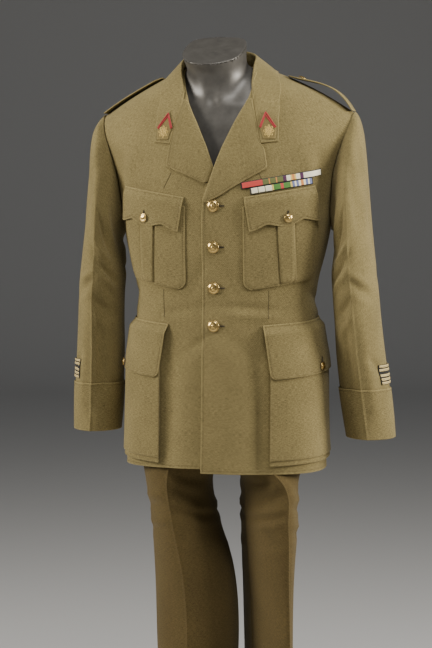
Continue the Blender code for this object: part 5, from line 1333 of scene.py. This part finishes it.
# The buttons: stamped brass shells with a rolled rim, a fine raised ring and a plain boss,
# on wire shanks through worked buttonholes; four large ones close the front.
brass, brass_shader = plain_material("polished_brass", (0.72, 0.50, 0.20), 0.3, 1.0)
brass_tree = brass.node_tree
brass_place = brass_tree.nodes.new("ShaderNodeTexCoord").outputs["Object"]
tarnish = grain_node(brass_tree, brass_place, 260, 3, 0.6)
link(brass_tree, blend_node(brass_tree, tarnish, (0.55, 0.34, 0.09, 1), (1.00, 0.74, 0.30, 1)),
    brass_shader.inputs["Base Color"])
link(brass_tree, sum_node(brass_tree, "ADD", sum_node(brass_tree, "MULTIPLY", tarnish, 0.16), 0.22),
    brass_shader.inputs["Roughness"])
BUTTON_PROFILE = (
    (0.25, 0.00), (0.25, 0.12), (0.80, 0.13), (0.93, 0.15), (0.985, 0.19), (1.00, 0.24), (0.985, 0.29),
    (0.95, 0.32), (0.90, 0.325),
    (0.865, 0.315), (0.83, 0.325), (0.77, 0.365), (0.71, 0.395), (0.68, 0.42), (0.65, 0.435), (0.62, 0.43),
    (0.59, 0.42), (0.50, 0.45),
    (0.40, 0.475), (0.32, 0.485), (0.27, 0.50), (0.22, 0.53), (0.15, 0.55), (0.08, 0.558),
)


def button(name, node, place, direction, radius, sides=40):
    direction = np.asarray(direction, float) / np.linalg.norm(direction)
    across = np.cross(direction, (0, 0, 1.0))
    across /= np.linalg.norm(across)
    up = np.cross(across, direction)
    turns = np.arange(sides) * 2 * math.pi / sides
    spokes = across * np.cos(turns)[:, None] + up * np.sin(turns)[:, None]
    rings = []
    for r, h in BUTTON_PROFILE:
        # Eight leaves in low relief stand round the boss.
        leaf = 0.018 * np.cos(turns * 8) * math.exp(-(((r - 0.44) / 0.13) ** 2)) * (h > 0.4)
        rings.append(place + spokes * r * radius + direction * (h + leaf)[:, None] * radius)
    points = [place, *np.concatenate(rings), place + direction * 0.56 * radius]
    last = len(points) - 1
    faces = []
    for k in range(sides):
        n = (k + 1) % sides
        faces += [(0, 1 + n, 1 + k), (last, last - sides + k, last - sides + n)]
        faces += [(1 + r * sides + k, 1 + r * sides + n, 1 + (r + 1) * sides + n,
            1 + (r + 1) * sides + k) for r in range(len(rings) - 1)]
    mesh = bpy.data.meshes.new(name)
    mesh.from_pydata([tuple(p) for p in points], [], faces)
    mesh.shade_smooth()
    mesh.materials.append(brass)
    made = bpy.data.objects.new(name, mesh)
    bpy.context.scene.collection.objects.link(made)
    shape = bmesh.new()
    shape.from_mesh(mesh)
    bmesh.ops.recalc_face_normals(shape, faces=shape.faces)
    shape.to_mesh(mesh)
    shape.free()
    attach(made, "root")
    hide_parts(node)
    return made


slit_thread, _ = plain_material("buttonhole_thread", (0.10, 0.072, 0.028), 0.6)
# The slit is a near-black cord of painted shade, standing for the shadow in the gap between the lips.
slit_shade, _ = plain_material("buttonhole_slit_shade", (0.012, 0.009, 0.005), 0.95)


def buttonhole(name, point_at, start, end):
    """A slit with whipped thread on both lips; point_at gives a place along and beside it."""
    n = max(8, int((end - start) / (0.9 * MM)))
    line = [point_at(s, 0.0, 0.12 * MM) for s in np.linspace(start, end, n)]
    # A dark cord of painted shade lies along the slit.
    slit = cord_along(f"{name}_slit", line, 0.55 * MM, slit_shade, 6)
    rungs = []
    for s in np.linspace(start, end, n):
        for beside in (-1, 1):
            rungs.append(np.array([point_at(s, beside * reach * MM, high * MM) for reach,
                high in ((0.45, 0.1), (0.9, 0.35), (1.5, 0.30), (2.0, 0.0))]))
    points, faces = [], []
    for rung in rungs:
        for k in range(len(rung) - 1):
            middle = (rung[k] + rung[k + 1]) / 2
            base = len(points)
            across = np.array([0.0, 0,
                1]) if abs(rung[k + 1][0] - rung[k][0]) > abs(rung[k + 1][2] - rung[k][2]) else np.array([1.0, 0,
                    0])
            for end_point in (rung[k], rung[k + 1]):
                points += [end_point + across * 0.34 * MM, end_point - across * 0.34 * MM,
                    end_point + np.array([0, -0.3, 0]) * MM]
            faces += [(base, base + 1, base + 4, base + 3), (base + 1, base + 2, base + 5, base + 4),
                (base + 2, base, base + 3, base + 5), (base, base + 2, base + 1), (base + 3, base + 4, base + 5)]
    mesh_points = np.array(points)
    whip = bpy.data.meshes.new(f"{name}_whipping")
    whip.from_pydata(mesh_points.tolist(), [], faces)
    whip.materials.append(slit_thread)
    made = bpy.data.objects.new(f"{name}_whipping", whip)
    bpy.context.scene.collection.objects.link(made)
    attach(made, "root")
    return slit, made


def point_on_front(side, arc, z, out):
    return on_front(side, np.array([arc]), np.array([z]), np.array([out]))[0]


for number, z in enumerate((1.3087, 1.2315, 1.1543, 1.0823), 1):
    place, ahead = (point_on_front(1, 0.0, z, out) for out in (SEAM, SEAM + 0.01))
    button(f"front_button_{number}_brass", f"front_button_{number}", place, ahead - place, 0.0110)
    buttonhole(f"front_buttonhole_{number}", lambda s, b, o, z=z: point_on_front(1, s, z + b, o), 0.006, 0.0205)
for side_name, side in SIDES.items():
    spots = {
        "chest": (chest_flap_place(0.0745, 0.0510), 8.0 * MM - 1.2 * MM, chest_flap_place(0.0745, 0.0390)),
        "skirt": (skirt_flap_place(0.106, 0.0890), FLAP_OUT, skirt_flap_place(0.106, 0.0740)),
    }
    for label, ((arc, z), out, (_, hole_z)) in spots.items():
        lift = 1.2 * MM if label == "chest" else 0
        place, ahead = (point_on_front(side, arc, z, out + lift + SEAM + more) for more in (0, 0.01))
        button(f"{label}_button_{side_name}_brass", f"{label}_button_{side_name}", place, ahead - place, 0.0078, 32)
        top = hole_z + 2 * MM

        def point_at(s, b, o, side=side, arc=arc, out=out):
            return point_on_front(side, arc + b, s, out + o + 1.0 * MM)

        buttonhole(f"{label}_buttonhole_{side_name}", point_at, z + 2 * MM, top)
    place, ahead = (strap_place(side_name, np.array([0.17]), np.array([0.0]),
        np.array([STRAP_THICK + more]))[0] for more in (0.6 * MM, 0.01))
    button(f"strap_button_{side_name}_brass", f"strap_button_{side_name}", place, ahead - place, 0.0078, 32)

# The trousers: two fronts and two backs of a darker, browner wool, sewn at the inside and
# outside seams, pressed to a crease down each panel, and gathered by a plain waistband.
HIPS = np.array(((0.800, 0.172, 0.108, 0.108), (0.900, 0.176, 0.108, 0.107), (0.960, 0.174, 0.106, 0.104),
    (1.020, 0.168, 0.102, 0.096), (1.090, 0.1605, 0.098, 0.084)))
LEGS = {
    "right": np.array((
        (0.040, -0.0780, 0.010, 0.050, 0.102, -6, 0.9), (0.160, -0.0740, 0.006, 0.055, 0.100, -4, 0.9),
        (0.300, -0.0640, 0.002, 0.070, 0.095, -2, 0.8),
        (0.450, -0.0585, 0.000, 0.0815, 0.090, 0, 0.7), (0.600, -0.0665, 0.000, 0.0775, 0.094, 0, 0.7),
        (0.700, -0.0850, 0.000, 0.065, 0.100, 0, 0.6),
        (0.780, -0.0950, -0.003, 0.066, 0.100, 0, 0.5), (0.835, -0.0860, -0.003, 0.0855, 0.101, 0, 0.2),
        (0.920, -0.0860, -0.003, 0.0855, 0.102, 0, 0.0),
    )),
    "left": np.array((
        (0.040, 0.0880, 0.010, 0.040, 0.106, 22, 0.9), (0.160, 0.0870, 0.006, 0.036, 0.110, 26, 0.9),
        (0.300, 0.0850, 0.002, 0.033, 0.114, 30, 0.9),
        (0.450, 0.0830, 0.000, 0.032, 0.118, 32, 0.8), (0.600, 0.0820, 0.000, 0.038, 0.118, 31, 0.7),
        (0.700, 0.0845, 0.000, 0.047, 0.118, 29, 0.6),
        (0.780, 0.0850, -0.003, 0.053, 0.110, 26, 0.6), (0.835, 0.0860, -0.003, 0.0855, 0.101, 0, 0.2),
        (0.920, 0.0860, -0.003, 0.0855, 0.102, 0, 0.0),
    )),
}
FORK, FORK_TOP, WAIST_SEAM = 0.835, 0.925, 1.088
# Wrinkles of the thighs and knees: share round the panel (metres) and height.
LEG_FOLDS = np.array(
    [
        (0.012, 0.716, 0.060, 0.735, 0.006, 2.0), (0.010, 0.705, 0.062, 0.722, 0.006, -2.2),
        (0.030, 0.760, 0.062, 0.785, 0.008, 1.8),
        (0.030, 0.745, 0.066, 0.766, 0.007, -1.6), (0.085, 0.700, 0.130, 0.690, 0.008, 1.4),
        (0.085, 0.690, 0.135, 0.676, 0.008, -1.4),
        (0.020, 0.640, 0.060, 0.655, 0.010, 1.0), (0.090, 0.560, 0.092, 0.420, 0.016, -1.6),
        (0.030, 0.560, 0.028, 0.400, 0.016, -1.2),
        (0.024, 0.775, 0.058, 0.790, 0.005, -1.8), (0.020, 0.690, 0.050, 0.702, 0.006, 1.6),
        (0.088, 0.735, 0.132, 0.722, 0.006, -1.8),
        (0.092, 0.752, 0.128, 0.744, 0.006, 1.6), (0.015, 0.300, 0.100, 0.285, 0.010, 1.4),
        (0.020, 0.130, 0.110, 0.118, 0.010, -2.0), (0.020, 0.085, 0.120, 0.098, 0.010, 1.8),
    ]
)
trouser_wool = wool_material("trouser_twill", (0.140, 0.097, 0.032), (0.050, 0.033, 0.010),
    2 * math.pi / (2.2 * MM))


def leg_point(side_name, face, q, z):
    side, ahead = SIDES[side_name], (-1 if face == "front" else 1)
    half, front, back = (table_curve(HIPS[:, 0], HIPS[:, k], z) for k in (1, 2, 3))
    rows = LEGS[side_name]
    mid_x, mid_y, wide_, deep_, twist, crease = (table_curve(rows[:, 0], rows[:, k], z) for k in range(1, 7))
    turn = q * math.pi / 2
    hip_x = side * half * np.abs(np.sin(turn)) ** (2 / 2.2)
    hip_y = ahead * (front if face == "front" else back) * np.abs(np.cos(turn)) ** (2 / 2.2)
    turn = (q - 0.5) * math.pi
    wide = np.sign(turn) * np.abs(np.sin(turn)) ** (1 + 0.35 * crease) * wide_
    deep = np.abs(np.cos(turn)) * deep_ * ahead
    twist = np.radians(twist)
    leg_x = mid_x + side * wide * np.cos(twist) - deep * np.sin(twist)
    leg_y = mid_y + deep * np.cos(twist) + side * wide * np.sin(twist)
    share = 1 - ease(z, FORK, FORK_TOP)
    x, y = hip_x + (leg_x - hip_x) * share, hip_y + (leg_y - hip_y) * share
    clear = np.where(side * x < SEAM / 2, side * SEAM / 2, x)
    x = np.where(z >= FORK - 1e-6, clear, x)
    return np.stack([x, y, z], -1)


leg_heights = np.concatenate([WAIST_SEAM - np.array([0, 0.3, 1, 3]) * MM, np.linspace(1.08, FORK_TOP, 22),
    np.linspace(FORK_TOP - 0.004, FORK + 0.004, 18), [FORK, FORK - 0.001, FORK - 0.004],
    np.linspace(0.826, 0.08, 120), 0.04 + np.array([34, 32, 31, 30, 28, 20, 8, 3, 1, 0.3, 0]) * MM])
leg_shares = np.concatenate([[0.001, 0.003, 0.008], np.linspace(0.02, 0.44, 20),
    [0.46, 0.475, 0.4875, 0.4945, 0.5, 0.5055, 0.5125, 0.525, 0.54], np.linspace(0.56, 0.98, 20),
    [0.992, 0.997, 0.999]])
for side_name, side in SIDES.items():
    for face in ("front", "back"):

        def place(q, z, out, side_name=side_name, face=face, side=side):
            small = 0.004
            here = leg_point(side_name, face, q, z)
            across = leg_point(side_name, face, np.minimum(q + small, 1), z) - leg_point(side_name, face,
                np.maximum(q - small, 0), z)
            along = leg_point(side_name, face, q, np.minimum(z + small, WAIST_SEAM)) - leg_point(side_name, face, q,
                np.maximum(z - small, 0.04))
            normal = np.cross(across, along) * (side * (1 if face == "front" else -1))
            normal /= np.linalg.norm(normal, axis=-1, keepdims=True) + 1e-12
            below = 1 - ease(z, 0.80, 0.84)
            folds = fold_height(LEG_FOLDS, q * 0.145, z) * below
            crease = 1.4 * MM * np.exp(-(((q - 0.5) / 0.018) ** 2)) * below
            return here + normal * (out + folds + crease)[..., None]

        piece = cloth(f"trouser_{face}_{side_name}_cloth", place, leg_shares, leg_heights, trouser_wool,
            stitched="b")
        cloth_place(piece, [f"trouser_{face}_{side_name}"])
band_turns = np.linspace(0, 2 * math.pi, 96, endpoint=False)


def place_band(turn, z, out):
    s, c = np.sin(turn), np.cos(turn)
    depth = np.where(c > 0, HIPS[-1, 2], HIPS[-1, 3]) + MM + out
    x = (HIPS[-1, 1] + MM + out) * np.sign(s) * np.abs(s) ** (2 / 2.2)
    return np.stack([x, -depth * np.sign(c) * np.abs(c) ** (2 / 2.2), z], -1)


band = cloth("waistband_cloth", place_band, band_turns, 1.126 - edge_steps(0.0377, 4 * MM, (True, True)),
    trouser_wool, 3 * MM, stitched="tb", seam_in=4.7, tube=True)
cloth_place(band, ["waistband"])

# The dress form: a moulded plastic torso without limbs, painted gloss black, with a
# modelled neck cut off on a slant and hollows and ridges where collarbones would be.
FORM = np.array(
    [
        (0.932, 0.1560, 0.0880, 0.0860, 0.0), (0.940, 0.1660, 0.0980, 0.0960, 0.0),
        (0.980, 0.1660, 0.0990, 0.0950, 0.0),
        (1.030, 0.1600, 0.0945, 0.0880, 0.0), (1.084, 0.1555, 0.0930, 0.0790, 0.0),
        (1.091, 0.1578, 0.0953, 0.0813, 0.0),
        (1.126, 0.1578, 0.0953, 0.0813, 0.0), (1.170, 0.1620, 0.0970, 0.0850, 0.0),
        (1.240, 0.1740, 0.1000, 0.0950, 0.0),
        (1.320, 0.1840, 0.1020, 0.1040, 0.0), (1.390, 0.1920, 0.1000, 0.1080, 0.0),
        (1.445, 0.2000, 0.0950, 0.1060, 0.002),
        (1.495, 0.2100, 0.0860, 0.0980, 0.005), (1.535, 0.2200, 0.0710, 0.0820, 0.008),
        (1.563, 0.2270, 0.0520, 0.0600, 0.010),
        (1.5790, 0.2310, 0.0270, 0.0300, 0.012), (1.5865, 0.2330, 0.0020, 0.0020, 0.012),
    ]
)
# The neck's rings: height, middle, half width and depth, and how far the ring slants.
NECK = np.array(
    [
        (1.505, -0.0095, -0.012, 0.0560, 0.0540, 0.00), (1.548, -0.0130, -0.020, 0.0530, 0.0560, 0.05),
        (1.575, -0.0160, -0.028, 0.0555, 0.0590, 0.20), (1.605, -0.0190, -0.036, 0.0600, 0.0625, 0.50),
        (1.635, -0.0200, -0.040, 0.0620, 0.0640, 0.50),
    ]
)
form_turns = np.linspace(0, 2 * math.pi, 96, endpoint=False)
form_rows = np.unique(np.concatenate([np.arange(0, 9), np.linspace(8, 16, 60)]))
torso_rings = []
for row in form_rows:
    curve = table_curve if row > 9 else np.interp
    keys = np.arange(len(FORM), dtype=float)
    height, half, front, back, shift = (curve(*((keys, FORM[:, k], row) if row > 9 else (row, keys,
        FORM[:, k]))) for k in range(5))
    power = 2 / (2.2 + 0.15 * ease(height, 1.13, 1.39))
    s, c = np.sin(form_turns), np.cos(form_turns)
    x = half * np.abs(s) ** power
    z = height - shoulder_fall(height, x)
    y = shift - np.where(c > 0, front, back) * np.sign(c) * np.abs(c) ** power
    torso_rings.append(np.stack([np.sign(s) * x + neck_lean(x, z), y, z], -1))
neck_rings = []
for row in np.linspace(0, 4, 33):
    height, mid_x, mid_y, half, deep, slant = (table_curve(range(5), NECK[:, k], row) for k in range(6))
    # Rounded in front and nearly flat behind.
    flat = np.where(np.cos(form_turns) > 0, 1.0, 0.55)
    s, c = np.sin(form_turns), np.cos(form_turns)
    y = mid_y - deep * np.sign(c) * np.abs(c) ** flat
    neck_rings.append(np.stack([mid_x + half * np.sign(s) * np.abs(s) ** flat, y, height + (y - mid_y) * slant],
        -1))


def loft(rings):
    """Points and faces of a closed body through rings of equal point counts."""
    sides = len(rings[0])
    points = np.concatenate([[rings[0].mean(0)], *rings, [rings[-1].mean(0)]])
    last = len(points) - 1
    faces = []
    for k in range(sides):
        n = (k + 1) % sides
        faces += [(0, 1 + n, 1 + k), (last, last - sides + k, last - sides + n)]
        faces += [(1 + r * sides + k, 1 + r * sides + n, 1 + (r + 1) * sides + n,
            1 + (r + 1) * sides + k) for r in range(len(rings) - 1)]
    return points, faces


form_gloss, gloss_shader = plain_material("form_gloss_paint", (0.075, 0.070, 0.063), 0.40, 0.45)
gloss_shader.inputs["Coat Weight"].default_value = 0.12
gloss_shader.inputs["Coat Roughness"].default_value = 0.28
gloss_tree = form_gloss.node_tree
gloss_place = gloss_tree.nodes.new("ShaderNodeTexCoord").outputs["Object"]
scuffs = grain_node(gloss_tree, gloss_place, 35, 5, 0.7)
link(gloss_tree, sum_node(gloss_tree, "ADD", sum_node(gloss_tree, "MULTIPLY", scuffs, 0.22), 0.36),
    gloss_shader.inputs["Roughness"])
link(gloss_tree, blend_node(gloss_tree, scuffs, (0.055, 0.050, 0.042, 1), (0.150, 0.139, 0.120, 1)),
    gloss_shader.inputs["Base Color"])

torso_points, torso_faces = loft(torso_rings)
neck_points, neck_faces = loft(neck_rings)
both = np.concatenate([torso_points, neck_points])
both_faces = torso_faces + [tuple(i + len(torso_points) for i in face) for face in neck_faces]
rough_form = add_piece("rough_form", both, both_faces, form_gloss)
shape = bmesh.new()
shape.from_mesh(rough_form.data)
bmesh.ops.recalc_face_normals(shape, faces=shape.faces)
shape.to_mesh(rough_form.data)
shape.free()
remesh = rough_form.modifiers.new("even", "REMESH")
remesh.mode, remesh.voxel_size = "VOXEL", 3.6 * MM
form_mesh = bpy.data.meshes.new_from_object(rough_form.evaluated_get(bpy.context.evaluated_depsgraph_get()))
bpy.data.objects.remove(rough_form)
points = np.zeros(3 * len(form_mesh.vertices))
form_mesh.vertices.foreach_get("co", points)
points = points.reshape(-1, 3)
edges = np.zeros(2 * len(form_mesh.edges), int)
form_mesh.edges.foreach_get("vertices", edges)
edges = edges.reshape(-1, 2)
degree = np.bincount(edges.ravel(), minlength=len(points))[:, None]


def relax(points, share, rounds):
    for _ in range(rounds):
        total = np.zeros_like(points)
        for k in range(3):
            total[:, k] = np.bincount(edges[:, 0], points[edges[:, 1], k], len(points))
            total[:, k] += np.bincount(edges[:, 1], points[edges[:, 0], k], len(points))
        points = points + (total / degree - points) * share
    return points


points = relax(points, 0.5, 12)
across = points[:, 0] + 0.012
joint = np.exp(-(((np.hypot(across, points[:, 1] + 0.014) - 0.068) / 0.022) ** 2) - ((points[:,
    2] - 1.540) / 0.026) ** 2)
points = relax(points, 0.6 * joint[:, None], 160)


def near_line(points, x0, z0, x1, z1, width):
    along, rise = x1 - x0, z1 - z0
    share = np.clip(((points[:, 0] - x0) * along + (points[:, 2] - z0) * rise) / (along**2 + rise**2), 0, 1)
    apart = np.hypot(points[:, 0] - x0 - share * along, points[:, 2] - z0 - share * rise)
    return np.exp(-((apart / width) ** 2)) * (points[:, 1] < -0.02)


relief = -3.6 * near_line(points, -0.010, 1.507, -0.010, 1.5071, 0.011)
for side in (-1, 1):
    relief = relief + 2.6 * near_line(points, -0.010 + side * 0.010, 1.512, -0.013 + side * 0.046, 1.585, 0.012)
    relief = relief + 1.6 * near_line(points, -0.010 + side * 0.014, 1.500, side * 0.110, 1.500, 0.010)
    relief = relief - 2.4 * near_line(points, -0.010 + side * 0.042, 1.518, -0.013 + side * 0.062, 1.570, 0.012)
points[:, 1] -= relief * MM
points = relax(points, 0.5, 3)
form_mesh.vertices.foreach_set("co", points.ravel())
shape = bmesh.new()
shape.from_mesh(form_mesh)
bmesh.ops.bisect_plane(
    shape, geom=shape.verts[:] + shape.edges[:] + shape.faces[:], plane_co=(-0.0190, -0.036, 1.605),
    plane_no=(0, -0.5, 1), clear_outer=True
)
rim = [e for e in shape.edges if e.is_boundary]
cap = bmesh.ops.contextual_create(shape, geom=rim)["faces"]
bmesh.ops.bevel(shape, geom=[e for face in cap for e in face.edges], offset=2.6 * MM, segments=4, profile=0.6,
    affect="EDGES")
bmesh.ops.recalc_face_normals(shape, faces=shape.faces)
shape.to_mesh(form_mesh)
shape.free()
form_mesh.name = "torso_form"
form_mesh.shade_smooth()
form_mesh.materials.clear()
form_mesh.materials.append(form_gloss)
torso_form = bpy.data.objects.new("torso_form", form_mesh)
bpy.context.scene.collection.objects.link(torso_form)
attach(torso_form, "root")
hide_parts("dress_form")

# The stand: a steel tube in a flanged socket on a round steel plate, all enamelled black, with three socket screws
# that lock the tube.
stand_paint, stand_shader = plain_material("stand_enamel", (0.03, 0.029, 0.027), 0.35)
stand_tree = stand_paint.node_tree
stand_place = stand_tree.nodes.new("ShaderNodeTexCoord").outputs["Object"]
chips = grain_node(stand_tree, stand_place, 60, 6, 0.7)
chip_ramp = stand_tree.nodes.new("ShaderNodeMapRange")
chip_ramp.inputs["From Min"].default_value, chip_ramp.inputs["From Max"].default_value = 0.655, 0.675
link(stand_tree, chips, chip_ramp.inputs["Value"])
link(stand_tree, blend_node(stand_tree, chip_ramp.outputs[0], (0.022, 0.021, 0.020, 1), (0.30, 0.28, 0.25, 1)),
    stand_shader.inputs["Base Color"])
link(stand_tree, chip_ramp.outputs[0], stand_shader.inputs["Metallic"])
dust = grain_node(stand_tree, stand_place, 18, 4, 0.6)
link(stand_tree, sum_node(stand_tree, "ADD", sum_node(stand_tree, "MULTIPLY", dust, 0.35), 0.20),
    stand_shader.inputs["Roughness"])
peel = stand_tree.nodes.new("ShaderNodeBump")
peel.inputs["Strength"].default_value = 0.25
peel.inputs["Distance"].default_value = 0.15 * MM
link(stand_tree, grain_node(stand_tree, stand_place, 700, 2), peel.inputs["Height"])
link(stand_tree, peel.outputs[0], stand_shader.inputs["Normal"])


def stand_piece(name, place, direction, profile, sides, finish=None):
    """A turned body about a direction; the profile holds radius and height pairs."""
    direction = np.asarray(direction, float) / np.linalg.norm(direction)
    across = np.cross(direction, (0, 1.0, 0) if abs(direction[2]) > 0.9 else (0, 0, 1.0))
    across /= np.linalg.norm(across)
    up = np.cross(across, direction)
    turns = np.arange(sides) * 2 * math.pi / sides
    spokes = across * np.cos(turns)[:, None] + up * np.sin(turns)[:, None]
    points, faces = loft([np.asarray(place) + spokes * r + direction * h for r, h in profile])
    made = add_piece(name, points, faces, finish or stand_paint)
    shape = bmesh.new()
    shape.from_mesh(made.data)
    bmesh.ops.recalc_face_normals(shape, faces=shape.faces)
    shape.to_mesh(made.data)
    shape.free()
    made.data.set_sharp_from_angle(angle=math.radians(50))
    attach(made, "root")
    return made


POLE = (-0.0740, 0.004, 0)
POLE_TOP = 0.932 - SEAM
pole = stand_piece("stand_tube", POLE, (0, 0, 1), (
    (0.0225, 0.0093), (0.024, 0.0100), (0.024, 0.0285), (0.0232, 0.0297), (0.0215, 0.0303), (0.0150, 0.0330),
    (0.0135, 0.0345), (0.0125, 0.0350),
    (0.0125, POLE_TOP - 0.021), (0.0150, POLE_TOP - 0.018), (0.0190, POLE_TOP - 0.013), (0.020, POLE_TOP - 0.011),
    (0.020, POLE_TOP - 0.001), (0.0193, POLE_TOP),
), 64)
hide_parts("stand_pole")
plate = stand_piece("base_disc", (0, 0, 0), (0, 0, 1), (
    (0.1970, 0.0), (0.1990, 0.0005), (0.2000, 0.0018), (0.2000, 0.0065), (0.1994, 0.0079), (0.1980, 0.0087),
    (0.1955, 0.0090), (0.1500, 0.0090),
    (0.0800, 0.0090),
), 160)
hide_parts("base_plate")
steel, _ = plain_material("screw_steel", (0.45, 0.44, 0.42), 0.32, 1.0)
for number in range(3):
    turn = math.radians(-75 + 120 * number)
    outward = np.array([math.cos(turn), math.sin(turn), 0])
    screw = stand_piece(f"lock_screw_{number + 1}", np.array(POLE) + outward * 0.0236 + (0, 0, 0.0190), outward, (
        (0.0034, 0.0), (0.0034, 0.0012), (0.0030, 0.0016), (0.0019, 0.0016), (0.0017, 0.0007), (0.0006, 0.0007),
    ), 24, steel)
